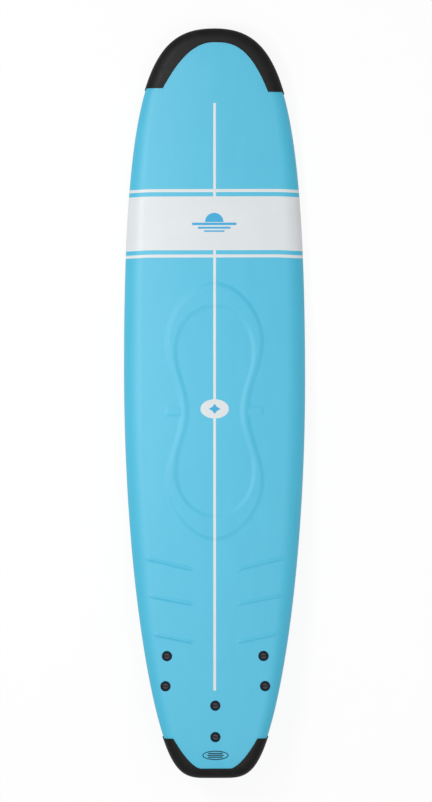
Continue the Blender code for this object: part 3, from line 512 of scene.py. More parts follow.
def pressed(x, s):
    """How high the mould raises the skin at places on the deck."""
    x, y = np.abs(x), np.abs(s - RIB_AT)
    rise = np.zeros(np.broadcast(x, s).shape)
    near = (x < RIB_LOBE + RIB_SLOPE) & (y < RIB_END + RIB_SLOPE)
    inside = np.minimum(off_contour(x[near], y[near], OUTER_RIB), -off_contour(x[near], y[near], INNER_RIB))
    rise[near] = eased(inside / RIB_SLOPE + 0.5)
    tab_in, tab_out = RIB_WAIST - TAB_INSIDE, RIB_WAIST + TAB_REACH
    beside = np.minimum(np.minimum(x - tab_in, tab_out - x), TAB_LENGTH / 2 - y)
    rise = np.maximum(rise, TAB_SHARE * eased(beside / TAB_SLOPE))
    for place, ahead in BAR_ROWS:
        start = LENGTH * place
        inner = np.array([BAR_IN, start])
        way = np.array([float(half_width(start + ahead)) - BAR_FROM_EDGE, start + ahead]) - inner
        t = ((x - inner[0]) * way[0] + (s - inner[1]) * way[1]) / (way @ way)
        off = np.abs((x - inner[0]) * way[1] - (s - inner[1]) * way[0]) / math.sqrt(way @ way)
        ends = eased(np.minimum(t, 1 - t) / BAR_FADE)
        rise = np.maximum(rise, BAR_SHARE * eased(1 - off / BAR_HALF) * ends)
    return PRESS_RISE * rise


TAIL_ANGLES = np.linspace(0, math.pi / 2, 400)
TAIL_REACH = fan_reach(TAIL_POLE, TAIL_ANGLES, -1)


def deck_height(x, s):
    """How high the deck is over the board's lowest point, at places on it behind the nose's fan."""
    far, out = np.abs(x), np.hypot(x, s - TAIL_POLE)
    behind = s < TAIL_POLE
    angle = np.arctan2(far, np.where(behind, TAIL_POLE - s, 0))
    reach = np.where(behind, np.interp(angle, TAIL_ANGLES, TAIL_REACH), half_width(s))
    edge_s = np.where(behind, TAIL_POLE - np.cos(angle) * reach, s)
    depth = reach - np.where(behind, out, far)
    arc = np.clip(depth / (RAIL_IN * foil(edge_s)), 0, 1)
    inward, share = depth / reach, foil(s)
    rail = (RAIL_DROP + RAIL_RISE * np.sqrt(1 - (1 - arc) ** 2)) * share
    return rocker(s) + rail + CROWN * share * inward * (2 - inward) + pressed(x, s)


# How far up a bolt's axis the deck is first looked for, and how often that is put right
FIRST_DEPTH, DEPTH_ROUNDS = 0.05, 20


def deck_frame(place):
    """A bolt's place on the bottom, moved up its axis to the deck, and how far that is."""
    depth = FIRST_DEPTH
    for _ in range(DEPTH_ROUNDS):
        x, y, z = place @ Vector((0, 0, depth))
        depth += float(deck_height(np.array([x]), np.array([y + LENGTH / 2]))[0]) - z
    return place @ Matrix.Translation((0, 0, depth)), depth


DECK_BOLTS = {name: deck_frame(place) for name, place in BOLTS.items()}


def raised(grid, v):
    """A grid of the deck's surface, raised where the mould raises it."""
    grid[..., 2] += np.where(v > PRESSED_FROM, pressed(grid[..., 0], grid[..., 1] + LENGTH / 2), 0)
    return grid


def deck_grid():
    """The skin's outside, and its edge at the seam."""
    sections = all_sections(STEP)
    seam = v_at(sections, SEAM_IN, -1)
    lanes = np.concatenate([LOWER_RAIL, UPPER_RAIL, DECK_LANES])
    v = np.hstack([seam, seam, (seam - 1) / 2, np.tile(lanes, (len(seam), 1))])
    inset = np.zeros_like(v)
    inset[:, 0] = SKIN
    return both_sides(raised(surface(*columns(sections), v, inset), v))


# The holes round the deck cups: their rims from the top down, as (radius, rise), how far past the first
# one the skin is cut away, and the place over a cup that the new faces are turned to
CUP_HOLE = 0.0165
CUP_RINGS = ((CUP_HOLE + 0.0008, 0.0), (CUP_HOLE + 0.0002, -0.0003), (CUP_HOLE, -0.0010), (CUP_HOLE, -0.0032))
RIM_POINTS, RIM_CLEAR, CUP_SURROUND = 72, 0.0013, 0.033
LOOK_FROM = Vector((0, 0, 0.05))


def rim_spots(place, radius, rise):
    """Points of the deck round a bolt's axis, raised by so much."""
    circle = about_axis(all_round(RIM_POINTS), radius, 0).reshape(-1, 3)
    x, y, _ = np.array([place @ Vector(spot) for spot in circle]).T
    return np.stack([x, y, deck_height(x, y + LENGTH / 2) + rise], -1).tolist()


def round_cups(mesh, skin):
    """Each deck cup's place, with the skin's vertices round it."""
    points = np.empty(len(mesh.vertices) * 3)
    mesh.vertices.foreach_get("co", points)
    points = points.reshape(-1, 3)
    skin.verts.ensure_lookup_table()
    found = []
    for place, _ in DECK_BOLTS.values():
        far = np.linalg.norm(points - np.array(place.translation), axis=1)
        found.append((place, [skin.verts[k] for k in np.flatnonzero(far < CUP_SURROUND)]))
    return found


def rolled_rim(skin, place, border):
    """Fills the skin from a hole's border to a true circle and rolls that down past the flange."""
    circle = [skin.verts.new(spot) for spot in rim_spots(place, *CUP_RINGS[0])]
    edges = [skin.edges.new(pair) for pair in zip(circle, circle[1:] + circle[:1])]
    filled = bmesh.ops.triangle_fill(skin, edges=border + edges, use_beauty=True)["geom"]
    faces = [thing for thing in filled if isinstance(thing, bmesh.types.BMFace)]
    for radius, rise in CUP_RINGS[1:]:
        lower = [skin.verts.new(spot) for spot in rim_spots(place, radius, rise)]
        for k in range(RIM_POINTS):
            faces.append(skin.faces.new((circle[k - 1], circle[k], lower[k], lower[k - 1])))
        circle = lower
    return faces


def holed(mesh):
    """Opens the skin round each deck cup."""
    skin = bmesh.new()
    skin.from_mesh(mesh)
    for place, near in round_cups(mesh, skin):
        flat = place.inverted()
        inside = dict.fromkeys(v for v in near if (flat @ v.co).xy.length < CUP_RINGS[0][0] + RIM_CLEAR)
        bmesh.ops.delete(skin, geom=list(inside), context="VERTS")
        left = [v for v in near if v not in inside]
        border = list(dict.fromkeys(edge for v in left for edge in v.link_edges if edge.is_boundary))
        for face in rolled_rim(skin, place, border):
            face.normal_update()
            if face.normal.dot(place @ LOOK_FROM - face.calc_center_median()) < 0:
                face.normal_flip()
    for face in skin.faces:
        face.smooth = True
    skin.to_mesh(mesh)
    skin.free()
    return mesh


# Closed-cell polyethylene foam, embossed: matt and finely pebbled, with a soft sheen, a little uneven
# in tone where the sheet was heated, and painted shade darkening the pebbles' hollows
PEBBLE, PEBBLE_DEPTH, STREAK, STREAK_STRETCH = 0.0016, 0.00025, 0.045, 0.3
FOAM_BLUE, FOAM_PALE, FOAM_HOLLOW_SHADE = linear("#38B7D8"), linear("#41BEDE"), linear("#289DBE")
pebbled_foam, at = finish("embossed_foam_sheet", {"Roughness": 0.52, "IOR": 1.5, "Specular IOR Level": 0.9})
pebbles = add(
    pebbled_foam, "TexVoronoi", {"Vector": at, "Scale": 1 / PEBBLE, "Smoothness": 0.6}, feature="SMOOTH_F1"
)
pores = add(pebbled_foam, "TexNoise", {"Vector": at, "Scale": 3 / PEBBLE, "Detail": 2})
streaks_at = add(pebbled_foam, "Mapping", {"Vector": at, "Scale": (1, STREAK_STRETCH, 1)})
streaks = add(pebbled_foam, "TexNoise", {"Vector": streaks_at.outputs[0], "Scale": 1 / STREAK, "Detail": 4})
blues = add(
    pebbled_foam, "Mix", {SHARE: streaks.outputs[0], FIRST: FOAM_BLUE, SECOND: FOAM_PALE}, data_type="RGBA"
)
# Painted shade: between the pebbles' middles, where the relief is low, the colour turns a darker blue
hollow_shade = add(pebbled_foam, "MapRange", {
    "Value": pebbles.outputs[0], "From Min": 0.2, "From Max": 0.75, "To Min": 0.0, "To Max": 0.22,
})
shade = add(
    pebbled_foam, "Mix", {SHARE: hollow_shade.outputs[0], FIRST: blues.outputs[MIXED], SECOND: FOAM_HOLLOW_SHADE},
    data_type="RGBA",
)
relief = add(
    pebbled_foam, "Math", {0: pores.outputs[0], 1: 0.35, 2: pebbles.outputs[0]}, operation="MULTIPLY_ADD"
)
dents = add(
    pebbled_foam, "Bump", {"Height": relief.outputs[0], "Distance": PEBBLE_DEPTH, "Strength": 0.35},
    invert=True,
)
coat(pebbled_foam, {"Base Color": shade.outputs[MIXED], "Normal": dents.outputs[0]})
deck_mesh = facing_out(woven("foam_deck", deck_grid()), (0, 0, THICKNESS), (0, 0, 1))
foam_deck = piece("foam_deck", holed(deck_mesh), pebbled_foam)
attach(foam_deck, "board")
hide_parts("deck_skin")

# White film on the deck
# Strips and an oval of thin white polyethylene film, heat-laminated flush into the foam: a wide band
# across the board between two pin lines, and a centre line that the band and the oval break.

# How high the film stands and how far its skirt goes down into the foam. Its edge is rounded: FILM_EDGE
# in it has EDGE_SHARE of the rise, and FILM_ROUND in, or LINE_ROUND on the centre line, the whole.
FILM_RISE, FILM_SKIRT = 0.00028, 0.0004
FILM_EDGE, FILM_ROUND, LINE_ROUND, EDGE_SHARE = 0.0002, 0.0006, 0.0007, 0.6

# The strips over both rails: their places, how they droop near the rails, and the v where they end
BAND_AT, BAND_WIDTH = LENGTH * 0.7403, 0.1755
PIN_WIDTH, PIN_SPACE = 0.0102, 0.0134
BAND_DROOP, DROOP_FROM = 0.0035, 0.20
STRIP_LANES = np.concatenate([[-0.5, -0.49], np.linspace(-0.45, 0, 6), UPPER_RAIL, DECK_LANES])

# The centre line, laid a little askew, and the oval
LINE_WIDTH, LINE_LEAN = 0.0090, 0.0021
LINE_NOSE_END, LINE_TAIL_END = LENGTH - 0.2425, 0.28485
OVAL_AT, OVAL_HALF_WIDTH, OVAL_HALF_LENGTH = LENGTH * 0.4927, 0.0464, 0.0315
OVAL_RINGS, OVAL_SIDES = 14, 96


def drooped(grid):
    """Near the rails the stretched strips lie a little nearer to the tail."""
    grid[..., 1] -= BAND_DROOP * eased((np.abs(grid[..., 0]) - DROOP_FROM) / (HALF_WIDTH - DROOP_FROM))
    return grid


def strip_grid(low, high):
    """A strip right across the deck and over both rails, turned down into the foam at its edges."""
    count = max(4, round((high - low) / STEP))
    flat = np.linspace(low + FILM_ROUND, high - FILM_ROUND, count)
    sections = across_at(np.concatenate([[low, low + FILM_EDGE], flat, [high - FILM_EDGE, high]]))
    up = np.full((len(sections), len(STRIP_LANES)), FILM_RISE)
    up[[1, -2]] = FILM_RISE * EDGE_SHARE
    up[[0, -1]] = up[:, :1] = -FILM_SKIRT
    return drooped(both_sides(raised(surface(*columns(sections), STRIP_LANES, -up), STRIP_LANES)))


def laid(x, s, rise):
    """Points on the deck, raised by so much."""
    x, s, rise = np.broadcast_arrays(x, s, rise)
    return np.stack([x, s - LENGTH / 2, deck_height(x, s) + rise], -1)


def line_grid(low, high):
    """A length of the centre line."""
    half = LINE_WIDTH / 2
    x = np.array([-half, FILM_EDGE - half, LINE_ROUND - half, 0, half - LINE_ROUND, half - FILM_EDGE, half])
    edge = [-FILM_SKIRT, EDGE_SHARE * FILM_RISE]
    up = np.array([*edge, FILM_RISE, FILM_RISE, FILM_RISE, *edge[::-1]])
    s = np.linspace(low, high, max(3, round((high - low) / STEP)))[:, None]
    return laid(x + LINE_LEAN * (s - LENGTH / 2), s, up)


def oval_grid(middle, half_across, half_along, line=None):
    """An oval, or the outline of one as a line of one width, lying on the deck."""
    inward = np.concatenate([np.linspace(line or half_along, FILM_ROUND, OVAL_RINGS), [FILM_EDGE, 0]])
    up = np.full(len(inward), FILM_RISE)
    up[-1], up[-2] = -FILM_SKIRT, FILM_RISE * EDGE_SHARE
    stretch = 1 if line else half_across / half_along
    angle = all_round(OVAL_SIDES)
    x, s = (half_across - inward * stretch) * np.sin(angle), middle + (half_along - inward) * np.cos(angle)
    return laid(x, s, up)


# Polyethylene film, heat-laminated: satin white, with the foam's pebble showing through it softly
PATCH, EMBOSS_DEPTH = 0.07, 0.00012
FILM_WHITE, FILM_PALE = linear("#D5DADC"), linear("#DDE1E3")
white_film, at = finish("laminated_white_film", {"Roughness": 0.42, "IOR": 1.5})
emboss = add(
    white_film, "TexVoronoi", {"Vector": at, "Scale": 1 / PEBBLE, "Smoothness": 0.8}, feature="SMOOTH_F1"
)
patches = add(white_film, "TexNoise", {"Vector": at, "Scale": 1 / PATCH, "Detail": 4})
shade = add(
    white_film, "Mix", {SHARE: patches.outputs[0], FIRST: FILM_WHITE, SECOND: FILM_PALE}, data_type="RGBA"
)
dents = add(
    white_film, "Bump", {"Height": emboss.outputs[0], "Distance": EMBOSS_DEPTH, "Strength": 0.3}, invert=True
)
coat(white_film, {"Base Color": shade.outputs[MIXED], "Normal": dents.outputs[0]})
band_low, band_high = BAND_AT - BAND_WIDTH / 2, BAND_AT + BAND_WIDTH / 2
pin = PIN_SPACE + PIN_WIDTH
films = {
    "cross_band": strip_grid(band_low, band_high),
    "front_pin_line": strip_grid(band_high + PIN_SPACE, band_high + pin),
    "rear_pin_line": strip_grid(band_low - pin, band_low - PIN_SPACE),
    "centre_line_nose": line_grid(band_high + pin - GAP, LINE_NOSE_END),
    "centre_line_front_link": line_grid(band_high - GAP, band_high + PIN_SPACE + GAP),
    "centre_line_rear_link": line_grid(band_low - PIN_SPACE - GAP, band_low + GAP),
    "centre_line_middle": line_grid(OVAL_AT + OVAL_HALF_LENGTH - GAP, band_low - pin + GAP),
    "centre_line_tail": line_grid(LINE_TAIL_END, OVAL_AT - OVAL_HALF_LENGTH + GAP),
}
for node, grid in films.items():
    middle = grid[grid.shape[0] // 2, grid.shape[1] // 2]
    film = piece(f"{node}_film", facing_out(woven(f"{node}_film", grid), middle, (0, 0, 1)), white_film)
    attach(film, "board")
    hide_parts(node)
oval_mesh = woven("centre_oval_film", oval_grid(OVAL_AT, OVAL_HALF_WIDTH, OVAL_HALF_LENGTH), round_rows=True)
oval_mesh = facing_out(oval_mesh, (0, OVAL_AT - LENGTH / 2, THICKNESS), (0, 0, 1))
centre_oval = piece("centre_oval_film", oval_mesh, white_film)
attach(centre_oval, "board")
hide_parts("centre_oval")

# Printed ornaments
# Plain shapes printed in blue ink: a low sun over three bars on the band, a star with four points
# in the oval, and near the tail an oval outline with three bars.
INK_RISE, INK_GRAIN, INK_DEPTH = FILM_RISE + 0.0001, 0.0011, 0.00002
SUN_AT, SUN_RADIUS, SUN_TURNS, SUN_RINGS = BAND_AT + 0.004, 0.030, 49, 10
STAR_HALF_ACROSS, STAR_HALF_ALONG, STAR_CORNERS, STAR_WAIST, STAR_RINGS = 0.0195, 0.0165, 8, 0.55, 8
TAIL_OVAL_AT, TAIL_OVAL_HALF_WIDTH, TAIL_OVAL_HALF_LENGTH, TAIL_RING = 0.0742, 0.0430, 0.0155, 0.0037

# The bars as (width, height, how far ahead of the sun's or the oval's place)
SUN_BARS = ((0.148, 0.0080, -0.006), (0.108, 0.0065, -0.0185), (0.068, 0.0050, -0.0295))
TAIL_BARS = ((0.048, 0.0039, 0.0060), (0.056, 0.0039, 0), (0.048, 0.0039, -0.0060))
BAR_POINTS, BAR_LANES = 41, 5


def bar_grid(middle, width, height, rise):
    """A plain bar with rounded ends, lying on the deck."""
    t = np.linspace(-1, 1, BAR_POINTS)
    into_end = np.maximum(0, 1 - (1 - np.abs(t)) * width / height)
    half = height / 2 * np.sqrt(1 - into_end**2)
    lanes = np.linspace(-1, 1, BAR_LANES)[:, None]
    return laid(t * width / 2, middle + lanes * half, rise)


def sun_grid():
    """The upper half of a disc."""
    angle = np.linspace(0, math.pi, SUN_TURNS)[:, None]
    r = np.linspace(0, SUN_RADIUS, SUN_RINGS)
    return laid(r * np.cos(angle), SUN_AT + r * np.sin(angle), INK_RISE)


def star_grid():
    """A star whose every other corner is a point, those along the board a little shorter."""
    angle = all_round(STAR_CORNERS)
    reach = np.linspace(0, 1, STAR_RINGS) * np.where(np.arange(STAR_CORNERS) % 2, STAR_WAIST, 1.0)[:, None]
    x, s = STAR_HALF_ACROSS * reach * np.cos(angle), OVAL_AT + STAR_HALF_ALONG * reach * np.sin(angle)
    return laid(x, s, INK_RISE)


def joined(name, *meshes):
    """One mesh from several."""
    whole = bmesh.new()
    for mesh in meshes:
        whole.from_mesh(mesh)
    mesh = bpy.data.meshes.new(name)
    whole.to_mesh(mesh)
    whole.free()
    mesh.shade_smooth()
    return mesh


def print_mesh(grid, round_rows=False):
    """A flat print, its faces up."""
    mesh = woven("print", grid, round_rows)
    if sum(face.normal.z for face in mesh.polygons) < 0:
        mesh.flip_normals()
    return mesh


def screen_ink(name, full, thin):
    """An ink, between the colour where it lies full and where it lies thin."""
    ink, at = finish(name, {"Roughness": 0.5, "IOR": 1.5, "Specular IOR Level": 0.35})
    grain = add(ink, "TexNoise", {"Vector": at, "Scale": 1 / INK_GRAIN, "Detail": 2})
    shade = add(ink, "Mix", {SHARE: grain.outputs[0], FIRST: full, SECOND: thin}, data_type="RGBA")
    dents = add(ink, "Bump", {"Height": grain.outputs[0], "Distance": INK_DEPTH, "Strength": 0.3})
    coat(ink, {"Base Color": shade.outputs[MIXED], "Normal": dents.outputs[0]})
    return ink


# Screen ink on film: flat and even, with a soft grain where it lies thin
sky_ink = screen_ink("screen_ink_sky", linear("#369FCB"), linear("#3DB0E0"))
teal_ink = screen_ink("screen_ink_teal", linear("#06364C"), linear("#083D55"))
sun_bars = [
    print_mesh(bar_grid(SUN_AT + ahead, width, height, INK_RISE)) for width, height, ahead in SUN_BARS
]
band_print = piece("band_print", joined("band_print", print_mesh(sun_grid()), *sun_bars), sky_ink)
oval_print = piece("oval_print", joined("oval_print", print_mesh(star_grid(), round_rows=True)), sky_ink)
tail_ring = oval_grid(TAIL_OVAL_AT, TAIL_OVAL_HALF_WIDTH, TAIL_OVAL_HALF_LENGTH, TAIL_RING)
tail_bars = [
    print_mesh(bar_grid(TAIL_OVAL_AT + ahead, width, height, FILM_RISE)) for width, height, ahead in TAIL_BARS
]
tail_mesh = joined("tail_oval_print", print_mesh(tail_ring, round_rows=True), *tail_bars)
tail_oval_print = piece("tail_oval_print", tail_mesh, teal_ink)
for printed in (band_print, oval_print):
    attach(printed, "board")
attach(tail_oval_print, "board")
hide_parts("tail_oval")

# Bumpers
# Two soft rubber mouldings glued round the nose and the tail. Each wraps from under the board over the
# rail onto the deck, and its two ends run to short points along the rails.
BUMPER_UNDER = 0.030

# On the deck: the flange's reach at the centre, and each side's end, arch and power. Side 1 is the right
# one and side -1 the left, whose end at the nose stops sooner.
NOSE_FLANGE = 0.0455
NOSE_ENDS = {1: (0.207, 0.176, 2.8), -1: (0.194, 0.166, 2.1)}
TAIL_FLANGE, TAIL_FLAT_HALF, TAIL_ARCH_HALF, TAIL_ARCH_POWER = 0.0313, 0.048, 0.1367, 1.6

# The rubber's two edges, as (how far in from the edge, share of the full thickness)
UNDER_EDGE = ((0.0, -0.1), (0.0, 0.5), (0.0006, 0.88), (0.0016, 1.0))
FLANGE_EDGE = ((0.0045, 1.0), (0.0022, 1.0), (0.0012, 0.93), (0.0005, 0.75), (0.0, 0.45), (0.0, -0.15))
LEAST_FLANGE = 1e-5
SEARCH_IN = 0.98
FLANGE_LANES = 26

# The ends along the rails: their point's length and the v over which it fades, the rows up to one, and
# the share of the thickness that it closes with
END_POINT, POINT_FROM, POINT_SPAN = 0.0085, -0.2, 0.5
END_ROWS = 14
END_CLOSE = (1, 0.9, 0.6, 0.25, -0.15)


def past_nose(x, s, side):
    """Whether places on the deck are past the edge of the nose's flange."""
    end, half, power = NOSE_ENDS[side]
    return LENGTH - s > NOSE_FLANGE + (end - NOSE_FLANGE) * (np.abs(x) / half) ** power


def past_tail(x, s, side):
    """The same for the tail's flange, whose two sides match."""
    out = np.maximum(0, np.abs(x) - TAIL_FLAT_HALF) / (TAIL_ARCH_HALF - TAIL_FLAT_HALF)
    return s > TAIL_FLANGE + (TAIL_POLE - TAIL_FLANGE) * out**TAIL_ARCH_POWER


def flange_depth(sections, past, side):
    """How far in from the edge each section leaves the strip that a bumper covers."""
    edge_x, edge_s, centre_s = columns(sections)
    reach = np.hypot(edge_x, centre_s - edge_s)
    low, high = np.zeros_like(reach), reach * SEARCH_IN
    for _ in range(HALVINGS):
        depth = (low + high) / 2
        beyond = past(edge_x * (1 - depth / reach), edge_s + (centre_s - edge_s) * depth / reach, side)
        low, high = np.where(beyond, low, depth), np.where(beyond, depth, high)
    return (low + high) / 2


def bumper_lanes(sections, past, side):
    """The v and the thickness of each lane, from under the board to the flange's edge on the deck."""
    inner = flange_depth(sections, past, side)
    under = [v_at(sections, BUMPER_UNDER - inward, -1) for inward, _ in UNDER_EDGE]
    over = [v_at(sections, np.maximum(inner - inward, LEAST_FLANGE), 1) for inward, _ in FLANGE_EDGE]
    between = [np.full_like(inner, v) for v in LOWER_RAIL[1:]]
    between += [share * over[0] for share in np.linspace(0, 1, FLANGE_LANES)[1:-1]]
    thick = [share for _, share in UNDER_EDGE] + [1.0] * len(between) + [share for _, share in FLANGE_EDGE]
    return np.hstack([*under, *between, *over]), np.array(thick)


def bumper_side(rays, pole, sign, end, past, side):
    """Rows from a tip to one end, which runs further along the rail than over the deck."""
    v, thick = bumper_lanes(rays, past, side)
    rows = [surface(*columns(rays), v, -LIP * thick)]
    last, _ = bumper_lanes(across_at(pole), past, side)
    point = END_POINT * (1 - eased((last[0] - POINT_FROM) / POINT_SPAN))
    for k in range(1, END_ROWS + len(END_CLOSE)):
        share = min(1, k / END_ROWS)
        most = END_CLOSE[max(0, k - END_ROWS)]
        row = across_at(pole + (end - sign * point - pole) * share)
        lanes, _ = bumper_lanes(across_at(pole + (end - pole) * share), past, side)
        rows.append(surface(*row.T, lanes[0], -LIP * np.minimum(thick, most))[None])
    return np.vstack(rows)


# Synthetic rubber, compression moulded: matt black with a fine even grain, scuffed grey in places
RUBBER_GRAIN, RUBBER_DEPTH, SCUFF = 0.0007, 0.00015, 0.038
RUBBER_BLACK, RUBBER_GREY = linear("#0F0E0E"), linear("#1D1B1C")
moulded_rubber, at = finish("moulded_rubber", {"Roughness": 0.5, "IOR": 1.52, "Specular IOR Level": 0.22})
grain = add(moulded_rubber, "TexNoise", {"Vector": at, "Scale": 1 / RUBBER_GRAIN, "Detail": 3})
scuffs = add(moulded_rubber, "TexNoise", {"Vector": at, "Scale": 1 / SCUFF, "Detail": 6, "Roughness": 0.65})
worn = add(moulded_rubber, "MapRange", {
    "Value": scuffs.outputs[0], "From Min": 0.45, "From Max": 0.75, "To Min": 0.0, "To Max": 0.6,
})
shade = add(
    moulded_rubber, "Mix", {SHARE: worn.outputs[0], FIRST: RUBBER_BLACK, SECOND: RUBBER_GREY},
    data_type="RGBA",
)
dull = add(moulded_rubber, "MapRange", {
    "Value": scuffs.outputs[0], "From Min": 0.3, "From Max": 0.7, "To Min": 0.42, "To Max": 0.58,
})
dents = add(moulded_rubber, "Bump", {"Height": grain.outputs[0], "Distance": RUBBER_DEPTH, "Strength": 0.45})
coat(moulded_rubber, {
    "Base Color": shade.outputs[MIXED], "Roughness": dull.outputs[0], "Normal": dents.outputs[0],
})
for node, pole, sign, past, right_end, left_end in (
    ("nose_bumper", NOSE_POLE, 1, past_nose, LENGTH - NOSE_ENDS[1][0], LENGTH - NOSE_ENDS[-1][0]),
    ("tail_bumper", TAIL_POLE, -1, past_tail, TAIL_POLE, TAIL_POLE),
):
    rays = fan(pole, sign)
    right = bumper_side(rays, pole, sign, right_end, past, 1)
    left = bumper_side(rays[1:], pole, sign, left_end, past, -1) * (-1, 1, 1)
    mesh = woven(f"{node}_moulding", np.vstack([left[::-1], right]))
    widest = right[0, len(UNDER_EDGE) + len(LOWER_RAIL) - 2]
    bumper = piece(f"{node}_moulding", facing_out(mesh, widest, (0, sign, 0)), moulded_rubber)
    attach(bumper, "board")
    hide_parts(node)

# Deck cups
# Six round nylon cups let into the deck, one over each fin bolt. The flange spreads the load on the
# foam and the pot holds the screw's head. Heights are over the deck at the bolt.
INSERT_BORE = 0.0043
CUP_BORE, CUP_OUTSIDE, CUP_RADIUS = 0.01055, 0.01255, 0.01625
CUP_PROUD, CUP_UNDER, CUP_INSIDE, CUP_BOTTOM = 0.0012, -0.0031, -0.0041, -0.0063

# The cup's mouth and the flange's outer edge, as (how far in, how far down)
MOUTH_EDGE = ((0.0, 0.0004), (-0.0006, 0.0))
OUTER_EDGE = ((0.0018, 0.0), (0.0008, 0.0003), (0.0002, 0.0009))
CUP_SOFT = 0.0003


def softened(thing, width):
    """Rounds the piece's sharp edges, as moulding or use does."""
    edge = thing.modifiers.new("soft edges", "BEVEL")
    edge.width, edge.segments, edge.limit_method, edge.angle_limit = width, 3, "ANGLE", math.radians(35)
    return thing


# Nylon, injection moulded: near black with a blue cast and a fine spark-eroded grain
SPARK_GRAIN, SPARK_DEPTH, NYLON_PATCH = 0.0004, 0.00006, 0.008
NAVY, NAVY_PALE = linear("#020F20"), linear("#05192E")
moulded_nylon, at = finish("moulded_nylon_navy", {"Roughness": 0.45, "IOR": 1.53, "Specular IOR Level": 0.15})
grain = add(moulded_nylon, "TexNoise", {"Vector": at, "Scale": 1 / SPARK_GRAIN, "Detail": 2})
patches = add(moulded_nylon, "TexNoise", {"Vector": at, "Scale": 1 / NYLON_PATCH, "Detail": 3})
shade = add(
    moulded_nylon, "Mix", {SHARE: patches.outputs[0], FIRST: NAVY, SECOND: NAVY_PALE}, data_type="RGBA"
)
dents = add(moulded_nylon, "Bump", {"Height": grain.outputs[0], "Distance": SPARK_DEPTH, "Strength": 0.4})
coat(moulded_nylon, {"Base Color": shade.outputs[MIXED], "Normal": dents.outputs[0]})
cup_profile = [
    (INSERT_BORE, CUP_BOTTOM), (INSERT_BORE, CUP_INSIDE), (CUP_BORE, CUP_INSIDE),
    *[(CUP_BORE - inward, CUP_PROUD - down) for inward, down in MOUTH_EDGE],
    *[(CUP_RADIUS - inward, CUP_PROUD - down) for inward, down in OUTER_EDGE],
    (CUP_RADIUS, CUP_UNDER), (CUP_OUTSIDE, CUP_UNDER), (CUP_OUTSIDE, CUP_BOTTOM),
]
for name, (place, _) in DECK_BOLTS.items():
    cup = piece(f"{name}_deck_cup", turned("deck_cup", cup_profile), moulded_nylon, place)
    softened(cup, CUP_SOFT)
    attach(cup, "board")
    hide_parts(f"{name}_cup")

# Fin screws
# Six nylon screws with broad flat heads and a slot that a coin turns. Each goes down through its cup
# and threads into the brass insert in the fin's post.
POST_HEIGHT, THREAD_HELD = 0.026, 0.017
SHANK_RADIUS, THREAD_ROOT, THREAD_PITCH, THREAD_LENGTH = 0.004, 0.0034, 0.002, 0.018
LEAD_IN, LEAD_SLOPE, RUN_OUT = 0.0015, 0.4, 0.001
SCREW_SIDES, THREAD_ROWS = 64, 91

# The head, with the fillet and the bevel below it and its upper edge as (how far in, how far down)
HEAD_RADIUS, HEAD_TOP, HEAD_HEIGHT = 0.01025, 0.0002, 0.004
HEAD_FILLET, HEAD_BEVEL = 0.0008, 0.0003
HEAD_EDGE = ((0.0, 0.0006), (0.0002, 0.0002), (0.0007, 0.0), (0.0016, 0.0))

# The slot: which share of each half is rounded, how blunt its ends are and how much less deep
SLOT_HALF, SLOT_WIDTH, SLOT_DEPTH, SLOT_ABOVE = 0.0088, 0.0042, 0.0027, 0.002
SLOT_ROUND, SLOT_BLUNT, SLOT_DIP, SLOT_POINTS = 0.14, 0.05, 0.35, 25
LAST_SLOT_TURN = math.radians(-8)


def screw_grid(depth):
    """The screw from its tip, up its thread and shank, to the middle of its head."""
    angle = all_round(SCREW_SIDES)
    tip = POST_HEIGHT - THREAD_HELD - depth
    z = np.linspace(tip, tip + THREAD_LENGTH, THREAD_ROWS)
    turns = (z / THREAD_PITCH - angle / (2 * math.pi)) % 1
    ridge = 1 - np.abs(2 * turns - 1)
    fade = eased((tip + THREAD_LENGTH - z) / RUN_OUT) * eased((z - tip) / LEAD_IN)
    thread = THREAD_ROOT + (SHANK_RADIUS - THREAD_ROOT) * (1 - fade * (1 - ridge))
    lead = np.where(z < tip + LEAD_IN, THREAD_ROOT + (z - tip) * LEAD_SLOPE, SHANK_RADIUS)
    thread = np.minimum(thread, lead)
    under = HEAD_TOP - HEAD_HEIGHT
    head = [
        (SHANK_RADIUS, under - HEAD_FILLET), (SHANK_RADIUS + HEAD_FILLET, under),
        (HEAD_RADIUS - HEAD_BEVEL, under), (HEAD_RADIUS, under + HEAD_BEVEL),
        *[(HEAD_RADIUS - inward, HEAD_TOP - down) for inward, down in HEAD_EDGE],
        (0, HEAD_TOP),
    ]
    head_r, head_z = np.array(head).T
    r = np.hstack([np.zeros_like(angle), thread, np.broadcast_to(head_r, (SCREW_SIDES, len(head)))])
    return about_axis(angle, r, np.concatenate([[tip], z, head_z]))


def slot_cutter():
    """A coin's slot: square sides and a floor that dips in the middle, round at both ends."""
    t = np.linspace(-1, 1, SLOT_POINTS)
    into_end = np.clip((np.abs(t) - 1 + SLOT_ROUND) / SLOT_ROUND, 0, 1)
    half = SLOT_WIDTH / 2 * np.sqrt(np.maximum(1 - into_end**2, SLOT_BLUNT))
    floor = HEAD_TOP - SLOT_DEPTH * (1 - SLOT_DIP * t**2)
    top = np.full_like(t, HEAD_TOP + SLOT_ABOVE)
    corners = ((-half, floor), (half, floor), (half, top), (-half, top))
    grid = np.stack([np.stack([t * SLOT_HALF, side, height], -1) for side, height in corners], 1)
    ends = [np.broadcast_to(grid[k].mean(0), grid[k].shape) for k in (0, -1)]
    mesh = woven("coin_slot", np.stack([ends[0], *grid, ends[1]]), round_columns=True)
    return facing_out(mesh, (0, 0, HEAD_TOP + SLOT_ABOVE), (0, 0, 1))
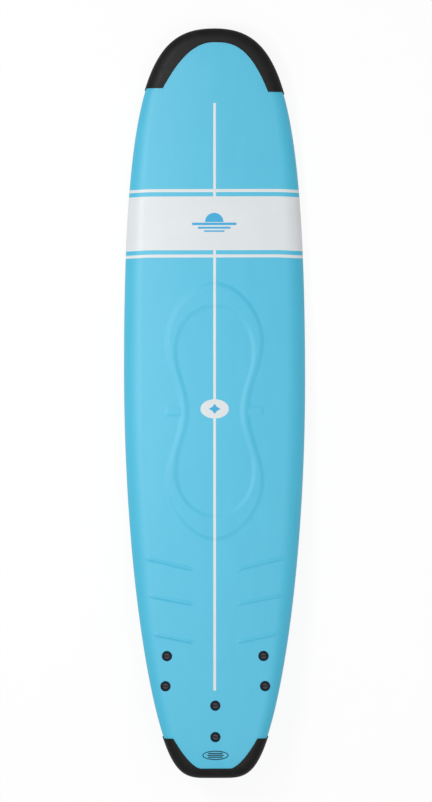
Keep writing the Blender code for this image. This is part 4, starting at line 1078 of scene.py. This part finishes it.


# Nylon, injection moulded: dark grey, rubbed smoother and lighter where coins have turned it, with
# painted shade darkening the slot and the ring round the head
HEAD_GRAIN, HEAD_DEPTH, RUB_LENGTH, RUB_WIDTH, SHADE_REACH = 0.0005, 0.00008, 0.008, 0.002, 0.004
NYLON_DARK, NYLON_RUBBED, PAINTED_SHADE = linear("#353339"), linear("#45424A"), linear("#070607")
grey_nylon, at = finish("moulded_nylon_grey", {"Roughness": 0.48, "IOR": 1.53, "Specular IOR Level": 0.2})
grain = add(grey_nylon, "TexNoise", {"Vector": at, "Scale": 1 / HEAD_GRAIN, "Detail": 3})
rubbed_at = add(
    grey_nylon, "Mapping", {"Vector": at, "Scale": (1 / RUB_LENGTH, 1 / RUB_WIDTH, 1 / RUB_LENGTH)}
)
rubbed = add(grey_nylon, "TexNoise", {"Vector": rubbed_at.outputs[0], "Scale": 1, "Detail": 4})
greys = add(
    grey_nylon, "Mix", {SHARE: rubbed.outputs[0], FIRST: NYLON_DARK, SECOND: NYLON_RUBBED}, data_type="RGBA"
)
# Painted shade: ambient occlusion turns the colour near black in the slot and where the cup closes round the
# head
occlusion = add(grey_nylon, "AmbientOcclusion", {"Distance": SHADE_REACH})
unshaded = add(grey_nylon, "MapRange", {"Value": occlusion.outputs["AO"], "From Min": 0.87, "From Max": 1.0})
shade = add(
    grey_nylon, "Mix", {SHARE: unshaded.outputs[0], FIRST: PAINTED_SHADE, SECOND: greys.outputs[MIXED]}, data_type="RGBA"
)
dull = add(grey_nylon, "MapRange", {
    "Value": rubbed.outputs[0], "From Min": 0.3, "From Max": 0.7, "To Min": 0.55, "To Max": 0.38,
})
dents = add(grey_nylon, "Bump", {"Height": grain.outputs[0], "Distance": HEAD_DEPTH, "Strength": 0.4})
coat(grey_nylon, {
    "Base Color": shade.outputs[MIXED], "Roughness": dull.outputs[0], "Normal": dents.outputs[0],
})
for name, (place, depth) in DECK_BOLTS.items():
    seat = place @ Matrix.Rotation(LAST_SLOT_TURN if name == "fin_centre_rear" else 0, 4, "Z")
    mesh = woven("fin_screw", screw_grid(depth), round_rows=True, sharp=40)
    screw = piece(f"{name}_fin_screw", facing_out(mesh, (0, 0, HEAD_TOP), (0, 0, 1)), grey_nylon, seat)
    carve(screw, piece("coin_slot", slot_cutter(), grey_nylon, seat))
    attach(screw, f"{name}_screw")
    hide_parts(f"{name}_screw")

# Bolt sleeves
# Six plastic tubes glued through the core, from the bottom sheet up to the cups. They line the holes
# that the fins' posts slide into.
SLEEVE_BORE, SLEEVE_RADIUS, SLEEVE_SIDES, SLEEVE_SOFT = 0.0083, 0.010, 48, 0.0002

# ABS, extruded: semi-gloss white with faint draw lines along the tube
DRAW_WIDTH, DRAW_LENGTH, DRAW_DEPTH = 0.0004, 0.25, 0.00004
ABS_GREY, ABS_WHITE = linear("#DCDDDA"), linear("#EDEDEA")
extruded_abs, at = finish("extruded_abs", {"Roughness": 0.35, "IOR": 1.54})
draw_at = add(
    extruded_abs, "Mapping", {"Vector": at, "Scale": (1 / DRAW_WIDTH, 1 / DRAW_WIDTH, 1 / DRAW_LENGTH)}
)
draw_lines = add(extruded_abs, "TexNoise", {"Vector": draw_at.outputs[0], "Scale": 1, "Detail": 2})
shade = add(
    extruded_abs, "Mix", {SHARE: draw_lines.outputs[0], FIRST: ABS_GREY, SECOND: ABS_WHITE}, data_type="RGBA"
)
dents = add(extruded_abs, "Bump", {"Height": draw_lines.outputs[0], "Distance": DRAW_DEPTH, "Strength": 0.4})
coat(extruded_abs, {"Base Color": shade.outputs[MIXED], "Normal": dents.outputs[0]})
for name, (_, depth) in DECK_BOLTS.items():
    top = depth + CUP_BOTTOM - GAP
    profile = [(SLEEVE_BORE, 0), (SLEEVE_RADIUS, 0), (SLEEVE_RADIUS, top), (SLEEVE_BORE, top)]
    tube = turned("bolt_sleeve", profile, SLEEVE_SIDES)
    sleeve = softened(piece(f"{name}_bolt_sleeve", tube, extruded_abs, BOLTS[name]), SLEEVE_SOFT)
    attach(sleeve, "board")
    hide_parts(f"{name}_sleeve")

# Fins
# Three flexible fins moulded in one piece: a raked blade, a flat foot that lies against the bottom and
# two posts that go up into the board. The side fins are canted outwards.
CANTS = {"fin_left": math.radians(-4), "fin_right": math.radians(4), "fin_centre": 0.0}

# The blade in side view: sweeps are powers, and the tip's round starts at a share of the depth
FIN_DEPTH, FIN_CHORD, FIN_RAKE, FIN_TIP = 0.112, 0.116, 0.064, 0.014
LEAD_SWEEP, TRAIL_SWEEP, TRAIL_BULGE = 1.7, 2, 0.014
TIP_FROM, TIP_SPAN, TIP_AFT = 0.94, 0.06, 0.65

# Its section: thinner towards the tip, thickest ahead of the middle, with blunt edges and a root that
# swells into the foot
FIN_THICKNESS, FIN_THINNING, FIN_TIP_SHARE, FIN_FORWARD = 0.0085, 0.7, 0.25, 0.8
FIN_EDGE, BLUNT_SPAN = 0.001, 0.012
ROOT_SWELL, ROOT_SPAN, SWELL_SPAN = 0.0025, 0.06, 0.02
BLADE_LEVELS, TIP_LEVELS, BLADE_LANES = 40, 14, 34

# The foot and its lower edge, and the posts with their wells
FOOT_HALF_WIDTH, FOOT_MARGIN, FOOT_THICKNESS = 0.0115, 0.014, 0.005
FOOT_BEVEL, FOOT_ROUND, FOOT_SIDES = 0.0006, 0.0018, 96
ROUND_ANGLES = (0.4, 0.8, 1.2, 1.57)
POST_RADIUS, WELL_RADIUS, WELL_FLOOR = 0.008, 0.0069, 0.0077
POST_EDGE = ((0.0, 0.0008), (0.0005, 0.0))
WELL_EDGE = ((0.0002, 0.0), (0.0, 0.0004))


def blade_grid(cant):
    """A raked blade from its root in the foot to its rounded tip."""
    root = FOOT_THICKNESS / 2
    rounding = np.sin(np.linspace(0, 1, TIP_LEVELS)[1:] * math.pi / 2)
    down = np.concatenate([np.linspace(0, TIP_FROM, BLADE_LEVELS), TIP_FROM + TIP_SPAN * rounding])[:, None]
    aft = (1 - np.cos(np.linspace(0, math.pi, BLADE_LANES))) / 2
    lead = FIN_CHORD / 2 - (FIN_CHORD / 2 + FIN_RAKE) * down**LEAD_SWEEP
    trail = -FIN_CHORD / 2 - (FIN_RAKE + FIN_TIP - FIN_CHORD / 2) * down**TRAIL_SWEEP
    trail = trail + TRAIL_BULGE * np.sin(math.pi * down)
    tip = np.sqrt(np.clip(1 - (np.maximum(0, down - TIP_FROM) / TIP_SPAN) ** 2, 0, 1))
    middle = lead * (1 - TIP_AFT) + trail * TIP_AFT
    lead, trail = middle + (lead - middle) * tip, middle + (trail - middle) * tip
    thick = FIN_THICKNESS / 2 * (1 - FIN_THINNING * down) * (FIN_TIP_SHARE + (1 - FIN_TIP_SHARE) * tip)
    from_edge = np.minimum(aft, 1 - aft)
    blunt = np.sqrt(np.clip(from_edge / BLUNT_SPAN, 0, 1)) * FIN_EDGE / 2 * tip
    swell = ROOT_SWELL * (1 - eased(down / ROOT_SPAN)) * np.clip(from_edge / SWELL_SPAN, 0, 1)
    half = thick * np.sin(math.pi * aft**FIN_FORWARD) + blunt + swell
    z = -GAP - root - (FIN_DEPTH - root) * down
    sides = []
    for side, order in ((1, slice(None, -1)), (-1, slice(None, 0, -1))):
        x, y, deep = np.broadcast_arrays(side * half - math.tan(cant) * z, lead + (trail - lead) * aft, z)
        sides.append(np.stack([x, y, deep], -1)[:, order])
    return np.concatenate(sides, 1)


def foot_grid(spacing):
    """A plate with round ends and a soft lower edge."""
    angle = (np.arange(FOOT_SIDES) + 0.5) / FOOT_SIDES * 2 * math.pi
    half = spacing / 2 + FOOT_MARGIN - FOOT_HALF_WIDTH
    low = FOOT_THICKNESS - FOOT_ROUND
    levels = [(0, FOOT_BEVEL), (FOOT_BEVEL, 0), (low, 0)]
    levels += [(low + FOOT_ROUND * math.sin(a), FOOT_ROUND * (1 - math.cos(a))) for a in ROUND_ANGLES]
    rows = []
    for down, inward in levels:
        radius = FOOT_HALF_WIDTH - inward
        y = radius * np.sin(angle) + np.copysign(half, np.sin(angle))
        rows.append(np.stack(np.broadcast_arrays(radius * np.cos(angle), y, -GAP - down), -1))
    return np.stack([rows[0] * (0, 1, 1), *rows, rows[-1] * (0, 1, 1)])


def post_mesh():
    """A post from inside the foot up, and down its well again."""
    low = -GAP - FOOT_THICKNESS / 2
    profile = [
        (0, low), (POST_RADIUS, low),
        *[(POST_RADIUS - inward, POST_HEIGHT - down) for inward, down in POST_EDGE],
        *[(WELL_RADIUS + outward, POST_HEIGHT - down) for outward, down in WELL_EDGE],
        (WELL_RADIUS, WELL_FLOOR), (0, WELL_FLOOR),
    ]
    return turned("post", profile, closed=False)


# Polyurethane, moulded flexible: satin black, with flow marks along the blade and a fine grain
FLOW_MARK, FLOW_STRETCH, FLOW_LEAN, FIN_GRAIN, FIN_DENT = 0.017, 0.3, 0.5, 0.0006, 0.00008
FIN_BLACK, FIN_GREY = linear("#191819"), linear("#2A2829")
flexible_fin, at = finish("moulded_flexible_urethane", {"Roughness": 0.4, "IOR": 1.5})
flow_at = add(
    flexible_fin, "Mapping", {"Vector": at, "Rotation": (FLOW_LEAN, 0, 0), "Scale": (1, FLOW_STRETCH, 1)}
)
flow = add(flexible_fin, "TexNoise", {"Vector": flow_at.outputs[0], "Scale": 1 / FLOW_MARK, "Detail": 5})
grain = add(flexible_fin, "TexNoise", {"Vector": at, "Scale": 1 / FIN_GRAIN, "Detail": 2})
shade = add(
    flexible_fin, "Mix", {SHARE: flow.outputs[0], FIRST: FIN_BLACK, SECOND: FIN_GREY}, data_type="RGBA"
)
dull = add(flexible_fin, "MapRange", {
    "Value": flow.outputs[0], "From Min": 0.3, "From Max": 0.7, "To Min": 0.32, "To Max": 0.5,
})
dents = add(flexible_fin, "Bump", {"Height": grain.outputs[0], "Distance": FIN_DENT, "Strength": 0.35})
coat(flexible_fin, {
    "Base Color": shade.outputs[MIXED], "Roughness": dull.outputs[0], "Normal": dents.outputs[0],
})
for name, (mount, spacing) in FIN_MOUNTS.items():
    blade = woven("blade", blade_grid(CANTS[name]), round_columns=True)
    foot = woven("foot", foot_grid(spacing), round_columns=True)
    meshes = [
        facing_out(blade, (FIN_THICKNESS / 2, 0, -FIN_DEPTH / 3), (1, 0, 0)),
        facing_out(foot, (0, 0, -GAP - FOOT_THICKNESS), (0, 0, -1)),
    ]
    for side in (1, -1):
        post = facing_out(post_mesh(), (POST_RADIUS, 0, POST_HEIGHT / 2), (1, 0, 0))
        post.transform(Matrix.Translation((0, side * spacing / 2, 0)))
        meshes.append(post)
    mesh = joined(f"{name}_moulding", *meshes)
    mesh.set_sharp_from_angle(angle=math.radians(50))
    fin = piece(f"{name}_moulding", mesh, flexible_fin, mount)
    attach(fin, name)
    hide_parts(name)

# Threaded inserts
# Six brass bushes pressed into the fins' posts. Their knurled outsides grip the plastic, and the screws
# thread into their bores.
INSERT_RADIUS, INSERT_LOW, INSERT_BEVEL = 0.0066, 0.008, 0.0005

# The knurl: its depth, its ridges each way round, how far up one radian of a ridge is, and its place
KNURL, KNURL_COUNT, KNURL_RISE, KNURL_FROM_END = 0.0003, 24, 0.0004, 0.001
INSERT_SIDES, KNURL_ROWS = 96, 41

# Brass, turned and knurled: bright yellow metal, duller where it has tarnished
TARNISH = 0.0033
BRASS_DULL, BRASS_BRIGHT = linear("#C79A4A"), linear("#E0BC72")
turned_brass, at = finish("turned_brass", {"Metallic": 1.0, "Roughness": 0.3})
tarnish = add(turned_brass, "TexNoise", {"Vector": at, "Scale": 1 / TARNISH, "Detail": 4})
shade = add(
    turned_brass, "Mix", {SHARE: tarnish.outputs[0], FIRST: BRASS_DULL, SECOND: BRASS_BRIGHT},
    data_type="RGBA",
)
dull = add(turned_brass, "MapRange", {
    "Value": tarnish.outputs[0], "From Min": 0.3, "From Max": 0.7, "To Min": 0.42, "To Max": 0.24,
})
coat(turned_brass, {"Base Color": shade.outputs[MIXED], "Roughness": dull.outputs[0]})


def insert_grid():
    """The bush's bore, ends and knurled outside, whose ridges cross both ways."""
    angle = all_round(INSERT_SIDES)
    z = np.linspace(INSERT_LOW + KNURL_FROM_END, POST_HEIGHT - KNURL_FROM_END, KNURL_ROWS)
    ridges = np.cos(KNURL_COUNT * angle + z / KNURL_RISE) * np.cos(KNURL_COUNT * angle - z / KNURL_RISE)
    outside = INSERT_RADIUS - KNURL * (0.5 - 0.5 * ridges)
    bore, end = np.full_like(angle, INSERT_BORE), np.full_like(angle, INSERT_RADIUS - INSERT_BEVEL)
    r = np.hstack([bore, end, outside, end, bore])
    return about_axis(angle, r, np.concatenate([[INSERT_LOW, INSERT_LOW], z, [POST_HEIGHT, POST_HEIGHT]]))


for name, place in BOLTS.items():
    mesh = woven("insert", insert_grid(), round_rows=True, round_columns=True)
    mesh = facing_out(mesh, (INSERT_RADIUS, 0, (INSERT_LOW + POST_HEIGHT) / 2), (1, 0, 0))
    insert = piece(f"{name}_brass_insert", mesh, turned_brass, place)
    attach(insert, name.rsplit("_", 1)[0])
    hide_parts(f"{name}_insert")

# Floor, light and camera
# A wide white floor that keeps a faint shadow, one broad soft lamp at the upper left, another high up on
# the right and even light from all round. The camera stands far off, square to the deck.
FLOOR_HALF, FLOOR_GLOW, SKY = 14.0, 0.9, 0.50
WHITE = (1, 1, 1, 1)

# Each lamp's name, place, width and power
LAMPS = (("key_lamp", Vector((-1.7, 0.6, 3.4)), 1.3, 65.0), ("top_lamp", Vector((1.6, -0.8, 5.6)), 2.5, 56.0))
LAMPS_AIM = Vector((0, -0.5, 0))

# What the camera looks at on the board, how far off it is, how much it shows and how it is rolled
AIM = Vector((0.0044, 0.0078, 0.075))
CAMERA_FAR, FRAME_HEIGHT, ROLL = 60.0, 2.6098, math.radians(-0.13)
SENSOR, CLIP_END = 36, 200

# White paper, matt: it shows white to the camera, and a part of its own surface keeps the shadow
white_floor, _ = finish(
    "white_paper", {"Base Color": linear("#F9F9F9"), "Roughness": 0.9, "Specular IOR Level": 0.1}
)
seen = add(white_floor, "LightPath", {})
rays = add(
    white_floor, "Math", {0: seen.outputs["Is Camera Ray"], 1: seen.outputs["Is Glossy Ray"]},
    operation="ADD", use_clamp=True,
)
most = add(white_floor, "Math", {0: rays.outputs[0], 1: FLOOR_GLOW}, operation="MULTIPLY")
glow = add(white_floor, "Emission", {"Color": WHITE, "Strength": 1.0})
paper = white_floor.node_tree.nodes["Principled BSDF"]
mixed = add(white_floor, "MixShader", {0: most.outputs[0], 1: paper.outputs[0], 2: glow.outputs[0]})
wire(white_floor, white_floor.node_tree.nodes["Material Output"], {"Surface": mixed.outputs[0]})
floor_mesh = bpy.data.meshes.new("floor")
corners = [(x * FLOOR_HALF, y * FLOOR_HALF, 0) for x, y in ((-1, -1), (1, -1), (1, 1), (-1, 1))]
floor_mesh.from_pydata(corners, [], [(0, 1, 2, 3)])
floor_mesh.materials.append(white_floor)
floor = bpy.data.objects.new("floor", floor_mesh)
bpy.context.scene.collection.objects.link(floor)

world = bpy.data.worlds.new("even_light")
world.use_nodes = True
bpy.context.scene.world = world
sky_seen = add(world, "LightPath", {})
level = add(world, "MapRange", {"Value": sky_seen.outputs["Is Camera Ray"], "To Min": SKY, "To Max": 1.0})
wire(world, world.node_tree.nodes["Background"], {"Color": WHITE, "Strength": level.outputs[0]})

for name, spot, size, power in LAMPS:
    lamp_data = bpy.data.lights.new(name, "AREA")
    lamp_data.shape, lamp_data.size, lamp_data.energy = "DISK", size, power
    lamp = bpy.data.objects.new(name, lamp_data)
    lamp.location = spot
    lamp.rotation_euler = (LAMPS_AIM - spot).to_track_quat("-Z", "Y").to_euler()
    bpy.context.scene.collection.objects.link(lamp)

camera_data = bpy.data.cameras.new("camera")
camera_data.sensor_fit, camera_data.sensor_width, camera_data.sensor_height = "AUTO", SENSOR, SENSOR
camera_data.lens = SENSOR * CAMERA_FAR / FRAME_HEIGHT
camera_data.clip_end = CLIP_END
camera = bpy.data.objects.new("camera", camera_data)
facing = LIE.to_3x3().to_4x4() @ Matrix.Rotation(ROLL, 4, "Z")
camera.matrix_world = Matrix.Translation(LIE @ AIM) @ facing @ Matrix.Translation((0, 0, CAMERA_FAR))
bpy.context.scene.collection.objects.link(camera)
bpy.context.scene.camera = camera
bpy.context.scene.view_settings.view_transform = "Standard"
